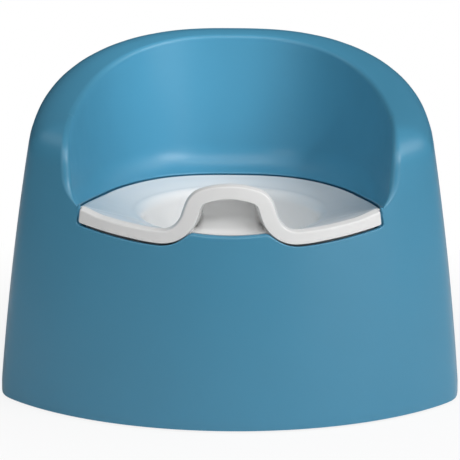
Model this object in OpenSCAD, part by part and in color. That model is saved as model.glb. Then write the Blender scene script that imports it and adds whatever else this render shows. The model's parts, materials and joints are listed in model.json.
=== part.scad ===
// Potty training chair: one-piece shell with backrest and arms, lift-out seat bowl with splash
// guard, base plate on rubber feet, and a sensing and sound unit under the bowl.
// Millimetres, +Z up, the front faces -Y, the origin is on the floor under the middle.

/* [Shell] */
// Overall width of the shell at its foot
shell_w = 348; // [336:1:364]
// Overall depth of the shell at its foot
shell_d = 336; // [326:1:350]
// Place of the seat's upright axis, from the middle toward the back
seat_y = -22; // [-26:1:-18]
// Radius of the bowed front wall in plan
front_r = 213; // [204:1:230]
// Squareness of the sides and back in plan
plan_n = 2.38; // [2.25:0.01:2.6]
// Sharpness of the two front corners
corner_p = 85; // [50:1:95]
// Wall thickness
skin = 3; // [2.6:0.1:3.2]
// Lean of the wall, inward per unit of height
draft = 0.083; // [0.07:0.001:0.09]
// Extra inward curve of the wall toward the top
barrel = 0.00023; // [0.00018:0.00001:0.00026]
// Gap between the shell's lower edge and the floor
foot_gap = 1.5; // [1:0.1:2.5]

/* [Backrest and arms] */
// Height of the top surface at its measuring line
crest_z = 254.3; // [246:0.1:262]
// Place of that measuring line, toward the back
crest_y = 114; // [108:1:120]
// Fall of the top toward the front, per unit of depth
top_slope = 0.375; // [0.35:0.005:0.4]
// Hollow of the top line from back to front
top_dish = 0.00058; // [0.0005:0.00001:0.00066]
// Height of the outer rounding at the arms
arm_down = 14.3; // [12:0.1:18]
// Width of the outer rounding at the arms
arm_in = 26.2; // [22:0.1:29]
// Height of the outer rounding at the back
back_down = 22.8; // [18:0.1:26]
// Width of the outer rounding at the back
back_in = 24.9; // [20:0.1:28]
// Inside width between the arms
cav_w = 239; // [232:0.5:244]
// Place of the backrest's inside face, toward the back
cav_back = 98.5; // [94:0.5:102]
// Place where the inside is widest
cav_mid = -96; // [-104:1:-88]
// Squareness of the backrest in plan
cav_n = 2.4; // [2.2:0.05:2.6]
// Lean of the inside wall, outward per unit of height
cav_lean = 0.086; // [0.075:0.001:0.095]
// Radius of the hollow rounding at the foot of the backrest
foot_rad = 26; // [24:0.5:30]
// Height of that rounding at the arms
foot_h = 18; // [16:0.5:20]
// Height of that rounding at the back
foot_h_back = 21.5; // [19:0.5:23]
// Rounding of the inside top edge
edge_round = 3; // [2:0.1:4]

/* [Seat edge] */
// Height of the seat at the back
seat_z = 139.5; // [136:0.1:142]
// Rise of the seat edge toward the front corners
seat_rise = 12; // [10:0.5:13]
// Place where that rise starts
rise_y = -6; // [-12:1:0]
// Length of that rise
rise_len = 113; // [106:1:120]
// Width of the ledge that carries the bowl
shelf_d = 8; // [6:0.5:10]
// Thickness of that ledge
shelf_t = 3; // [2.5:0.1:3.5]
// Height of the front rim at its two lowest places
dip_z = 130.4; // [128:0.1:132]
// Rise of the front rim from there to its level middle
mid_lift = 8.1; // [6:0.1:9]
// Softness of the turn into the level middle
rim_blend = 4; // [2:0.5:6]

/* [Bowl] */
// Width of the oval well
well_w = 131; // [124:1:138]
// Length of the oval well
well_l = 176; // [168:1:180]
// Middle of the well, toward the back
well_y = -37; // [-40:0.5:-34]
// Height of the well's edge
well_z = 134.6; // [133:0.1:135.5]
// Height of the well's floor
floor_z = 48; // [46.5:0.5:56]
// Bottom size of the well against its top size
well_taper = 0.8; // [0.74:0.01:0.84]
// Wall thickness of the bowl
bowl_t = 2.7; // [2.2:0.1:3]
// Thickness of the seat at its edge
deck_t = 4.05; // [3.6:0.05:4.4]
// Height of the front lip, which rises into the arch of the splash guard
band_h = 10.6; // [9.5:0.1:11.5]
// Height of the arch's top
arch_top = 174; // [168:0.1:180]
// Radius of the arch's crown, along the middle of the lip
arch_crown = 75; // [65:1:90]
// Angle that the crown turns on each side
arch_turn = 11.7; // [10:0.1:13]
// Radius of the arch's shoulders, along the middle of the lip
arch_round = 14; // [12:0.5:16]
// Steepness of the arch's legs
leg_tilt = 70; // [64:1:74]
// Radius of the turn from the legs into the lip, along the middle of the lip
dip_round = 19.8; // [17:0.1:22]
// Depth of the finger scoop
scoop_d = 8.5; // [6:0.5:9.5]
// Depth of the splash guard from front to back
guard_d = 19; // [16:0.5:21]
// Gap under the front lip
lip_gap = 0.8; // [0.5:0.1:1.2]
// Gap round the seat
side_gap = 0.6; // [0.4:0.1:1]
// Seat's clearance over the ledge
seat_gap = 0.25; // [0.15:0.05:0.3]

/* [Base] */
// Height of the base plate's lower face
base_z = 4; // [3.5:0.1:5]
// Thickness of the base plate
base_t = 3; // [2.6:0.1:3.4]
// Gap round the base plate
base_gap = 0.5; // [0.3:0.1:1]
// Radius of a foot
foot_r = 10; // [8:0.5:12]
// Distance of the front feet from the shell's sides
foot_front_in = 56; // [52:1:64]
// Distance of the rear feet from the shell's sides
foot_rear_in = 70; // [64:1:76]
// Distance of the front feet from the shell's front
foot_from_front = 70; // [66:1:74]
// Distance of the rear feet from the shell's back
foot_from_back = 68; // [62:1:74]
// Radius of a screw boss
boss_r = 5; // [4.4:0.1:5.6]
// Height of a screw boss
boss_h = 24; // [20:1:28]
// Radius of a screw's shank
screw_r = 1.5; // [1.3:0.05:1.7]
// Radius of a screw's head
head_r = 3.2; // [2.8:0.1:3.6]
// Height of a screw's head
head_h = 1.8; // [1.4:0.1:2.2]

/* [Sound unit] */
// Width of the splash cover
pod_w = 132; // [130:0.5:136]
// Depth of the splash cover
pod_d = 110; // [108:0.5:114]
// Height of the splash cover over the base plate
pod_h = 31; // [30:0.5:33]
// Corner radius of the splash cover
pod_r = 10; // [8:0.5:12]
// Wall of the splash cover
pod_t = 2.2; // [1.8:0.1:2.4]
// Gap between the circuit board and the splash cover
board_gap = 4.5; // [4:0.1:5]
// Height of the circuit board over the base plate
board_h = 21; // [20.5:0.1:22]
// Thickness of the circuit board
board_t = 1.6; // [1.2:0.1:2]
// Inset of the sensor plate from the splash cover
sensor_in = 20.5; // [18:0.5:24]
// Thickness of the sensor plate
sensor_t = 0.4; // [0.3:0.05:0.5]
// Inset of the sensor's contact pin from the end of the sensor plate
pin_in = 13.5; // [8:0.5:20]
// Height of the splash cover's screw ears
ear_h = 13; // [12:0.5:16]
// Grip of a screw in these ears
ear_grip = 8; // [6:0.5:9]
// Grip of a board screw in its post
board_grip = 6; // [4:0.5:8]
// Radius of the speaker
speaker_r = 24; // [22:0.5:25]
// Height of the speaker's frame
speaker_h = 9; // [8.5:0.1:9.5]
// Height of the speaker's magnet
magnet_h = 6.5; // [5:0.5:8]
// Radius of the record button
button_r = 8; // [7:0.5:9]
// Travel of the record button
button_travel = 0.8; // [0.5:0.1:1]
// Travel of the slide switch
knob_travel = 4; // [3:0.5:5]
// Running gap round the button and the slide knob
slide_gap = 0.4; // [0.3:0.05:0.5]

/* [Battery bay] */
// Length of a cell
cell_l = 44.5; // [44:0.1:45]
// Radius of a cell
cell_r = 5.25; // [5.1:0.05:5.3]
// Distance from cell to cell
cell_pitch = 11; // [10.8:0.1:11.2]
// Thickness of the battery door
door_t = 2.2; // [1.8:0.1:2.4]
// Radius of the door's hinge pin
pin_r = 1; // [0.9:0.05:1.1]
// Running fit of the hinge pin
pin_fit = 0.05; // [0.03:0.01:0.08]
// Gap round the door
door_gap = 0.45; // [0.35:0.05:0.6]
// Thickness of the door's seal
seal_t = 0.8; // [0.6:0.1:1]

/* [Hidden] */
$fn = 48;

// Counts of points along a wall section and round the shell
wall_n = 4;
top_n = 8;
face_n = 3;
fil_n = 4;
hollow_n = 2;
down_n = 7;
arc_n = 5;

// Derived sizes
cav_ref = crest_z - 47.8;
back_b = shell_d / 2 - seat_y;
circ_y = front_r - shell_d / 2 - seat_y;
lip_half = band_h / 2;
lip_round = skin + side_gap + 1.2;
plate_top = base_z + base_t;
pod_top = plate_top + pod_h;
board_z = plate_top + board_h;
frame_top = plate_top + 3;
bay_x = cell_l / 2 + 5;
bay_y = 1.5 * cell_pitch + 0.9;
bay_mid = 4;
rec_x = bay_x + 5.2;
rec_y = bay_y + 4;
hinge_x = -rec_x - 1.2;
hinge_z = base_z + door_t / 2;
board_w = pod_w - 2 * (pod_t + board_gap);
board_d = pod_d - 2 * (pod_t + board_gap);
collar_t = 2.4;
pod_front = seat_y - pod_d / 2 + pod_t;
speaker_pos = [
    speaker_r + collar_t + pod_t + 3.4 - pod_w / 2,
    pod_front + speaker_r + collar_t + 0.4];
knob_pos = [board_w / 2 - 11.3, pod_front + 18.8];
button_pos = [knob_pos[0] - 28, knob_pos[1]];
mic_pos = [knob_pos[0] - 14, knob_pos[1] + 20];
boss_angles = [25, 78, 138, -25, -78, -138];
post_pos = [for (sx = [-1, 1], sy = [-1, 1]) [sx * (board_w / 2 - 4), seat_y + sy * (board_d / 2 - 4)]];
ear_pos = [for (sx = [-1, 1], sy = [-1, 1]) [sx * (pod_w / 2 + 4), seat_y + sy * (pod_d / 2 - 22)]];

function mix(a, b, t) = a + (b - a) * t;
function ease(t) = let (u = min(1, max(0, t))) u * u * (3 - 2 * u);

// Plan radius of the shell's foot, seen from the seat axis, 0 degrees at the front
function plan_r(th) =
    let (k = -cos(th) * circ_y,
         r1 = k + sqrt(k * k - circ_y * circ_y + front_r * front_r),
         sx = abs(sin(th)) / (shell_w / 2),
         sy = abs(cos(th)) / back_b,
         r2 = pow(pow(sx, plan_n) + pow(sy, plan_n), -1 / plan_n))
    pow(pow(r1, -corner_p) + pow(r2, -corner_p), -1 / corner_p);

function wall_r(pr, z) = let (h = z - foot_gap) pr - draft * h - barrel * h * h;
function at_y(th, r) = seat_y - r * cos(th);
function at_xyz(th, p) = [p[0] * sin(th), at_y(th, p[0]), p[1]];

// Top surface and the sharp corner where it would meet the wall
function top_z(y) = let (d = y - crest_y) crest_z + top_slope * d + top_dish * d * d;
function sharp_z(th, pr, z, n) = n == 0 ? z : sharp_z(th, pr, top_z(at_y(th, wall_r(pr, z))), n - 1);

// Plan radius, sharp corner height, rounding height and rounding width at one angle
function station(th) =
    let (pr = plan_r(th), w = ease((th - 60) / 100))
    [pr, sharp_z(th, pr, 220, 10), mix(arm_down, back_down, w), mix(arm_in, back_in, w)];

// Outer section: wall, rounding, top, walked by the length s
function dome(th, k, s) =
    let (z0 = k[1] - k[2], run = 0.85 * (k[2] + k[3]), rc = wall_r(k[0], k[1]), r2 = rc - k[3],
         u = (s - z0) / run, a = (1 - u) * (1 - u), b = 2 * u * (1 - u), c = u * u, r = r2 - (s - z0 - run))
    s <= z0 ? [wall_r(k[0], s), s]
    : s <= z0 + run ? [a * wall_r(k[0], z0) + b * rc + c * r2, a * z0 + b * k[1] + c * top_z(at_y(th, r2))]
    : [r, top_z(at_y(th, r))];

function dome_in(th, k, s, d) =
    let (p = dome(th, k, s - 0.5), q = dome(th, k, s + 0.5), m = dome(th, k, s), v = (q - p) / norm(q - p))
    [m[0] - d * v[1], m[1] + d * v[0]];

// Inside of the seat: plan radius at an inset, height of its foot, radius at a height
function cav_over(th, d, r) =
    let (x = r * sin(th), y = max(0, at_y(th, r) - cav_mid))
    pow(x / (cav_w / 2 - d), cav_n) + pow(y / (cav_back - cav_mid - d), cav_n) - 1;
function cav_find(th, d, lo, hi, n) =
    let (m = (lo + hi) / 2)
    n == 0 ? m : cav_over(th, d, m) < 0 ? cav_find(th, d, m, hi, n - 1) : cav_find(th, d, lo, m, n - 1);
function cav_r(th, d) = cav_find(th, d, 40, 400, 22);

function fil_h(th) = mix(foot_h, foot_h_back, ease((th - 60) / 80));
function fil_in(h) = foot_rad - sqrt(foot_rad * foot_rad - h * h);
function foot_in(th, z) = cav_lean * (cav_ref - z) + fil_in(fil_h(th));

function seat_edge(th) =
    let (y = at_y(th, cav_r(th, foot_in(th, seat_z))))
    seat_z + seat_rise * pow(max(0, rise_y - max(y, -160)) / rise_len, 1.5);

function cav_at(th, z, ez) =
    let (h = min(fil_h(th), max(0, ez + fil_h(th) - z)))
    cav_r(th, cav_lean * (cav_ref - z) + fil_in(h));

function side_r(th, pr) =
    let (ez = seat_edge(th))
    min(cav_r(th, foot_in(th, ez)), wall_r(pr, ez) - skin);

// Angle of the seat's front corner
function find_corner(lo, hi, n) =
    let (m = (lo + hi) / 2, ez = seat_edge(m))
    n == 0 ? m
    : cav_r(m, foot_in(m, ez)) > wall_r(plan_r(m), ez)
        ? find_corner(m, hi, n - 1)
        : find_corner(lo, m, n - 1);

corner_th = find_corner(30, 62, 36);
corner_pr = plan_r(corner_th);
corner_x = wall_r(corner_pr, seat_z) * sin(corner_th);
lip_rise = seat_edge(corner_th) - lip_gap - band_h - dip_z;

// Middle line of the lip from the arch's top outward: crown, shoulder, leg, turn, dip
lip_top_z = arch_top - lip_half;
lip_dip_z = dip_z + lip_gap + lip_half;
shoulder_x = (arch_crown - arch_round) * sin(arch_turn);
shoulder_z = lip_top_z - arch_crown + (arch_crown - arch_round) * cos(arch_turn);
turn_z = lip_dip_z + dip_round;
leg_drop = shoulder_z + arch_round * cos(leg_tilt) - turn_z + dip_round * cos(leg_tilt);
dip_x = shoulder_x + (arch_round + dip_round) * sin(leg_tilt) + leg_drop / tan(leg_tilt);
grip_x = dip_x - sqrt(pow(dip_round + lip_half, 2) - pow(dip_round + lip_half - mid_lift, 2));

// Height of the lip's edge at x, at the offset o from the middle line
function lip_z(x, o) =
    let (ax = abs(x), rc = arch_crown + o, rs = arch_round + o, rf = dip_round - o,
         x2 = shoulder_x + rs * sin(leg_tilt))
    ax < rc * sin(arch_turn) ? lip_top_z - arch_crown + sqrt(rc * rc - ax * ax)
    : ax < x2 ? shoulder_z + sqrt(rs * rs - pow(ax - shoulder_x, 2))
    : ax < dip_x - rf * sin(leg_tilt) ? shoulder_z + rs * cos(leg_tilt) - (ax - x2) * tan(leg_tilt)
    : ax < dip_x ? turn_z - sqrt(rf * rf - pow(dip_x - ax, 2))
    : lip_dip_z + o + lip_rise * pow((ax - dip_x) / (corner_x - dip_x), 1.5);

function lip_top(x) = lip_z(x, lip_half);
function lip_bot(x) = lip_z(x, -lip_half);

// Share of the arch's height that the lip has at x
function arch_w(x) =
    abs(x) > dip_x ? 0 : (lip_top(x) - lip_top(dip_x)) / (arch_top - lip_top(dip_x));

// Front rim of the shell, under the lip and level across the grip opening
function rim_z(x) =
    let (a = lip_bot(x) - lip_gap, b = dip_z + mid_lift, h = max(0, rim_blend - abs(a - b)))
    abs(x) > dip_x ? a : min(a, b) - h * h / (4 * rim_blend);

// Searches along the outer section: the inside edge, its rounding, the top of the hollow
function edge_s(th, k, ez, lo, hi, n) =
    let (m = (lo + hi) / 2, p = dome(th, k, m))
    n == 0 ? m
    : p[0] > cav_at(th, p[1], ez) ? edge_s(th, k, ez, m, hi, n - 1) : edge_s(th, k, ez, lo, m, n - 1);

function face_r(th, k, z, ez, ze, rb) =
    max(rb, min(cav_at(th, z, ez), wall_r(k[0], z) - skin * min(1, max(0, (ze - z) / 3))));

function round_s(th, k, se, ze, ez, rb, lo, hi, n) =
    let (m = (lo + hi) / 2, z = ze - m)
    n == 0 ? m
    : norm(dome(th, k, se - m) - [face_r(th, k, z, ez, ze, rb), z]) < edge_round
        ? round_s(th, k, se, ze, ez, rb, m, hi, n - 1)
        : round_s(th, k, se, ze, ez, rb, lo, m, n - 1);

function hollow_r(th, z, ez) = cav_at(th, max(z, ez + fil_h(th)), ez) + skin;
function hollow_s(th, k, ez, lo, hi, n) =
    let (m = (lo + hi) / 2, p = dome_in(th, k, m, skin))
    n == 0 ? lo
    : p[0] > hollow_r(th, p[1], ez) + 0.6
        ? hollow_s(th, k, ez, m, hi, n - 1)
        : hollow_s(th, k, ez, lo, m, n - 1);

// Section of the shell, outside up, over the edge, down to the ledge, back under the skin
function shell_up(th, k, s1, sw) = concat(
    [for (i = [0:wall_n - 1]) dome(th, k, mix(foot_gap, sw, i / wall_n))],
    [for (i = [0:top_n]) dome(th, k, mix(sw, s1, i / top_n))]);

function shell_down(th, k, sh) = concat(
    [for (i = [1:down_n - 1])
        let (s = mix(sh, foot_gap, pow(i / down_n, 1.4)))
        dome_in(th, k, max(foot_gap + 0.6, s), skin)],
    [[wall_r(k[0], foot_gap) - skin, foot_gap]]);

function shell_front(th) =
    let (k = station(th), ze = rim_z(wall_r(k[0], dip_z + 5) * sin(th)), ez = ze - 5, z1 = ze - 1.4,
         rb = wall_r(k[0], ez) - skin, z2 = ez - 1 - shelf_t, r3 = wall_r(k[0], z2) - skin,
         end = dome_in(th, k, z2 - 1, skin), m = face_n + fil_n)
    concat(
        shell_up(th, k, z1, 0.77 * ze),
        [[wall_r(k[0], ze) - skin / 2, ze - 0.1]],
        [for (i = [0:m]) let (z = mix(z1, ez, i / m)) [wall_r(k[0], z) - skin, z]],
        [[rb, ez - 1], [rb - 1.5, ez - 1], [rb - 1.5, z2], [r3, z2]],
        [for (i = [1:hollow_n]) mix([r3, z2], end, 0.9 * i / hollow_n)],
        shell_down(th, k, z2 - 1));

function shell_side(th) =
    let (k = station(th), e0 = seat_edge(th), se = edge_s(th, k, e0, e0 - 3, 330, 36),
         e = dome(th, k, se), ze = e[1], ez = min(e0, ze - 2.2), rb = side_r(th, k[0]),
         dl = round_s(th, k, se, ze, e0, rb, 0.8, max(0.9, min(14, (ze - ez) * 0.7)), 20),
         z1 = max(ze - dl, ez + 0.1), c = [face_r(th, k, z1, e0, ze, rb), z1], a = dome(th, k, se - dl),
         zf = min(ez + fil_h(th), mix(ez, z1, 0.6)), zs = ez - deck_t - seat_gap, z2 = zs - shelf_t,
         r3 = min(rb + fil_in(fil_h(th)) + skin, wall_r(k[0], z2) - skin),
         sh = hollow_s(th, k, ez, z2 - 1, se, 28), end = dome_in(th, k, sh, skin), open = end[1] > z2 + 2)
    concat(
        shell_up(th, k, se - dl, min(k[1] - k[2], 0.77 * se)),
        [0.3 * a + 0.4 * e + 0.3 * c, c],
        [for (i = [1:face_n]) let (z = mix(z1, zf, i / face_n)) [face_r(th, k, z, e0, ze, rb), z]],
        [for (i = [1:fil_n - 1])
            let (z = zf - (zf - ez) * sin(90 * i / fil_n))
            [face_r(th, k, z, e0, ze, rb), z]],
        [[rb, ez], [rb, zs], [rb - shelf_d, zs], [rb - shelf_d, z2], [r3, z2]],
        [for (i = [1:hollow_n - 1])
            let (z = mix(z2, end[1], i / hollow_n))
            open ? [max(r3, hollow_r(th, z, ez)), z] : mix([r3, z2], end, 0.9 * i / hollow_n)],
        [open ? end : mix([r3, z2], end, 0.9)],
        shell_down(th, k, sh));

// Oval of the well from the seat axis, at a share f of its size
function well_r(th, f) =
    let (p = well_w / 2 * f, q = well_l / 2 * f, o = well_y - seat_y, s = sin(th), c = -cos(th),
         a = pow(s / p, 2) + pow(c / q, 2), b = -2 * c * o / (q * q), d = pow(o / q, 2) - 1)
    (-b + sqrt(b * b - 4 * a * d)) / (2 * a);

// Section of the bowl, from the well's floor out over the seat and back underneath
function bowl_section(th, front) =
    let (pr = plan_r(th), x = wall_r(pr, seat_z) * sin(th), e0 = seat_edge(th),
         re = side_r(th, pr) - side_gap,
         zt = front ? lip_top(x) : e0, zb = front ? lip_bot(x) : e0 - deck_t, a = front ? arch_w(x) : 0,
         g = front ? ease((dip_x - 4 - abs(x)) / (dip_x - 5 - grip_x)) : 0,
         rim = front ? rim_z(x) : zb, rt = front ? wall_r(pr, zt) : re, er = front ? lip_round : 1.2,
         rw = well_r(th, 1), rb = well_r(th, well_taper), fr = 26, fh = 24,
         lo = [rb - 0.02 * fr, floor_z + 0.3 + fh],
         rf = mix(rw, max(rw, rt - guard_d), a), zf = mix(well_z - 9, zt - 9, a),
         rd = mix(rw + 9, rt - 6.5, a), zd = mix(well_z, zt, a), r_end = rt - er,
         hb = min(1.2, (zt - er - zb) * 0.4),
         ru = (front ? wall_r(pr, zb) : re) - 3.2,
         r_fl = front ? wall_r(pr, rim) - skin - 0.7 : ru - 2.5, z_fl = rim + 0.15,
         rk = min(ru - mix(0.3, scoop_d, ease((zb - rim - lip_gap) / 14)), r_fl - 0.3), zk = zb - 0.15,
         rs = r_fl - (front ? 2.2 : 2), zs = front ? z_fl - 1.2 : zb + 0.2,
         zu = mix(well_z - bowl_t, z_fl - 2.6, g), zo = mix(well_z - 10, zu - 6, g),
         r_in = mix(lo[0], rf, 1 - pow(1 - min(1, (zo - lo[1]) / (zf - lo[1])), 1.35)) + bowl_t + 0.4,
         r_un = mix(rw + 10, r_in + 1.2, g))
    concat(
        [[rb * 0.35, floor_z], [rb - fr, floor_z + 0.3]],
        [for (i = [1:4]) [rb - fr + 0.98 * fr * sin(22.5 * i), floor_z + 0.3 + fh * (1 - cos(22.5 * i))]],
        [for (i = [1:2]) [mix(lo[0], rf, 1 - pow(1 - i / 3, 1.35)), mix(lo[1], zf, i / 3)]],
        [for (i = [0:arc_n - 1])
            let (t = 90 * i / (arc_n - 1))
            [rf + (rd - rf) * (1 - cos(t)), zf + (zd - zf) * sin(t)]],
        [for (i = [1:3]) [mix(rd, r_end, i / 3), mix(zd, zt - 0.15, i / 3) - 0.9 * sin(60 * i) * (1 - a)]],
        [[rt - er * 0.3, zt - er * 0.3 - 0.1], [front ? wall_r(pr, zt - er) : re, zt - er]],
        [[front ? wall_r(pr, zb + hb) : re, zb + hb], [(front ? wall_r(pr, zb) : re) - hb, zb], [ru, zb]],
        [for (i = [0:arc_n - 1])
            let (t = 90 * i / (arc_n - 1))
            front ? [r_fl - (r_fl - rk) * cos(t), zk - (zk - z_fl) * sin(t)] : [ru - 0.4 * (i + 1), zb]],
        [[r_fl, front ? z_fl - 3 : zb], [r_fl - (front ? 2 : 1), front ? z_fl - 3 : zb]],
        [for (i = [0:3])
            let (r = mix(rs, r_un, i / 3), t = min(1, max(0, (r - rd) / max(0.001, r_end - rd))),
                 zn = mix(zd, zt - 0.15, t) - 0.9 * sin(180 * t) * (1 - a) - bowl_t - 0.2,
                 za = mix(zs, zu, i / 3))
            [r, i == 0 && !front ? zs : mix(i == 0 ? max(zs, zn) : zn, za, g)]],
        [[r_in, zo]],
        [for (i = [2:-1:1])
            let (r = mix(lo[0], rf, 1 - pow(1 - i / 3, 1.35)))
            [r + bowl_t, min(mix(lo[1], zf, i / 3) - 0.6, zo - 4 * (3 - i))]],
        [for (i = [4:-1:1])
            let (t = 22.5 * i, r = rb - fr + (0.98 * fr + bowl_t) * sin(t))
            [r, floor_z + fh * (1 - cos(t)) - bowl_t * cos(t)]],
        [[rb - fr, floor_z - bowl_t + 0.1], [rb * 0.35, floor_z - bowl_t]]);

// Angles of the sections, for one half and mirrored for the whole
shell_half = concat(
    [for (t = [0, 0.27, 0.53, 0.7, 0.82, 0.94, 1.06, 1.18, 1.3]) 15.5 * t],
    [for (t = [0.12, 0.3, 0.5, 0.7, 0.88]) mix(20.2, corner_th, t)],
    [corner_th - 0.25, corner_th + 0.25],
    [for (t = [1.5, 3, 4.5, 6, 7.5, 9, 10.5, 12.5, 15, 19, 24]) corner_th + t],
    [for (i = [1:15]) mix(corner_th + 24, 180, i / 15)]);
bowl_half = concat(
    [0, 4, 6.6, 8, 8.9, 9.7, 10.5, 11.3, 12.2, 13.1, 14.1, 15.2, 16.4, 17.7, 19.2, 21],
    [for (t = [0.15, 0.35, 0.55, 0.75, 0.92]) mix(21, corner_th, t)],
    [corner_th - 0.65, corner_th - 0.55, corner_th + 1.5, corner_th + 5, corner_th + 10],
    [for (i = [1:15]) mix(corner_th + 10, 180, i / 15)]);

// Points of all sections, the second half mirrored from the first
function ring_points(half, sections) = concat(
    [for (i = [0:len(half) - 1], p = sections[i]) at_xyz(half[i], p)],
    [for (i = [len(half) - 2:-1:1], p = sections[i]) at_xyz(-half[i], p)]);

function ring_faces(m, n, closed) = [
    for (i = [0:m - 1], j = [0:n - (closed ? 1 : 2)])
        let (i1 = (i + 1) % m, j1 = (j + 1) % n,
             a = i * n + j, b = i1 * n + j, c = i1 * n + j1, d = i * n + j1)
        each (i < m / 2 ? [[a, d, c], [a, c, b]] : [[a, d, b], [b, d, c]])];

module tube(r, r_in, z0, z1) {
    translate([0, 0, z0])
        difference() {
            cylinder(r = r, h = z1 - z0);
            translate([0, 0, -1]) cylinder(r = r_in, h = z1 - z0 + 2);
        }
}

module slab(x0, x1, y0, y1, z0, z1) {
    translate([x0, y0, z0]) cube([x1 - x0, y1 - y0, z1 - z0]);
}

module rounded(w, d, r) {
    square([w - 2 * r, d], center = true);
    square([w, d - 2 * r], center = true);
    for (sx = [-1, 1], sy = [-1, 1])
        translate([sx * (w / 2 - r), sy * (d / 2 - r)]) circle(r = r);
}

// Screw driven upward, head under the plate
module screw_up(length) {
    difference() {
        union() {
            translate([0, 0, base_z - head_h]) cylinder(r = head_r, h = head_h);
            translate([0, 0, base_z - 0.1]) cylinder(r = screw_r - 0.05, h = length + 0.1);
        }
        for (a = [0, 90])
            rotate(a) slab(-1.9, 1.9, -0.4, 0.4, base_z - head_h - 1, base_z - head_h + 0.8);
    }
}

module boss_place(th) {
    translate([0, seat_y, 0]) rotate(th - 90) translate([plan_r(abs(th)) - skin - 9, 0, 0]) children();
}

module outer_shell() {
    sections = [for (th = shell_half) th < corner_th ? shell_front(th) : shell_side(th)];
    n = len(sections[0]);
    m = 2 * len(shell_half) - 2;
    color("#4a8fb0")
    difference() {
        union() {
            polyhedron(
                points = ring_points(shell_half, sections),
                faces = ring_faces(m, n, true),
                convexity = 10);
            for (th = boss_angles)
                boss_place(th) {
                    translate([0, 0, plate_top]) cylinder(r = boss_r, h = boss_h);
                    slab(0, 8.7, -1.5, 1.5, plate_top, plate_top + boss_h - 10);
                }
        }
        for (th = boss_angles)
            boss_place(th) translate([0, 0, plate_top - 1]) cylinder(r = screw_r, h = boss_h - 4);
    }
}

module seat_bowl() {
    sections = [for (th = bowl_half) bowl_section(th, th < corner_th - 0.6)];
    n = len(sections[0]);
    m = 2 * len(bowl_half) - 2;
    faces = concat(
        ring_faces(m, n, false),
        [for (i = [0:m - 1]) [m * n, i * n, ((i + 1) % m) * n]],
        [for (i = [0:m - 1]) [m * n + 1, ((i + 1) % m) * n + n - 1, i * n + n - 1]]);
    color("#eef0f2")
    polyhedron(
        points = concat(
            ring_points(bowl_half, sections),
            [[0, seat_y, floor_z], [0, seat_y, floor_z - bowl_t]]),
        faces = faces,
        convexity = 10);
}

module base_outline() {
    half = [for (th = shell_half) [th, wall_r(plan_r(th), plate_top) - skin - base_gap]];
    polygon(concat(
        [for (q = half) [q[1] * sin(q[0]), at_y(q[0], q[1])]],
        [for (i = [len(half) - 2:-1:1]) [-half[i][1] * sin(half[i][0]), at_y(half[i][0], half[i][1])]]));
}

module base_plate() {
    color("#dfe3e6")
    difference() {
        union() {
            translate([0, 0, base_z]) linear_extrude(base_t) base_outline();
            // Frame of the battery bay
            slab(-rec_x - 6, rec_x + 16, bay_mid - rec_y - 5, bay_mid + rec_y + 5, base_z, frame_top);
            // Board posts, speaker collar and sound tube
            for (p = post_pos)
                translate([p[0], p[1], plate_top - 0.1]) cylinder(r = 3.5, h = board_h + 0.1);
            translate(speaker_pos)
                tube(speaker_r + collar_t, speaker_r + 0.3, plate_top - 0.1, plate_top + 3);
            translate([mic_pos[0], mic_pos[1], plate_top - 0.1]) cylinder(r = 6.5, h = board_h - 5.6);
        }
        // Battery bay, door recess and hinge bores
        slab(-bay_x, bay_x, bay_mid - bay_y, bay_mid + bay_y, base_z - 1, frame_top + 1);
        slab(hinge_x - door_t / 2 - door_gap, rec_x + door_gap, bay_mid - rec_y, bay_mid + rec_y,
            base_z - 1, base_z + door_t + seal_t);
        slab(rec_x, rec_x + 12, bay_mid - 7, bay_mid + 7, base_z - 1, base_z + door_t + seal_t);
        translate([hinge_x, bay_mid - rec_y - 2.4, hinge_z])
            rotate([-90, 0, 0]) cylinder(r = pin_r + pin_fit, h = 2 * rec_y + 4.8);
        translate([rec_x + 6, bay_mid, base_z]) cylinder(r = screw_r + 0.45, h = 5.4);
        // Screw holes, foot holes, board pilots
        for (th = boss_angles)
            boss_place(th) translate([0, 0, base_z - 1]) cylinder(r = screw_r + 0.25, h = base_t + 2);
        for (p = ear_pos)
            translate([p[0], p[1], base_z - 1]) cylinder(r = screw_r + 0.25, h = base_t + 2);
        for (p = foot_pos)
            translate([p[0], p[1], base_z - 1]) cylinder(r = foot_r * 0.3 + 0.05, h = base_t + 2);
        for (p = post_pos)
            translate([p[0], p[1], board_z - board_grip - 4]) cylinder(r = 1.1, h = board_grip + 5);
        // Speaker grille, sound hole, button hole and knob slot
        translate([speaker_pos[0], speaker_pos[1], base_z - 1]) {
            cylinder(r = 1.7, h = base_t + 2);
            for (i = [0:5]) rotate(60 * i) translate([6.5, 0, 0]) cylinder(r = 1.7, h = base_t + 2);
            for (i = [0:11]) rotate(30 * i + 15) translate([13, 0, 0]) cylinder(r = 1.7, h = base_t + 2);
        }
        translate([mic_pos[0], mic_pos[1], base_z - 1]) cylinder(r = 2, h = board_h + 4);
        translate([button_pos[0], button_pos[1], base_z - 1])
            cylinder(r = button_r + slide_gap, h = base_t + 2);
        slab(knob_pos[0] - 2.5 - slide_gap, knob_pos[0] + 2.5 + knob_travel + slide_gap,
            knob_pos[1] - 2 - slide_gap, knob_pos[1] + 2 + slide_gap, base_z - 1, plate_top + 1);
    }
}

foot_pos = [
    for (rear = [0, 1], side = [-1, 1])
        [side * (shell_w / 2 - (rear == 1 ? foot_rear_in : foot_front_in)),
         rear == 1 ? shell_d / 2 - foot_from_back : foot_from_front - shell_d / 2]];

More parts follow.
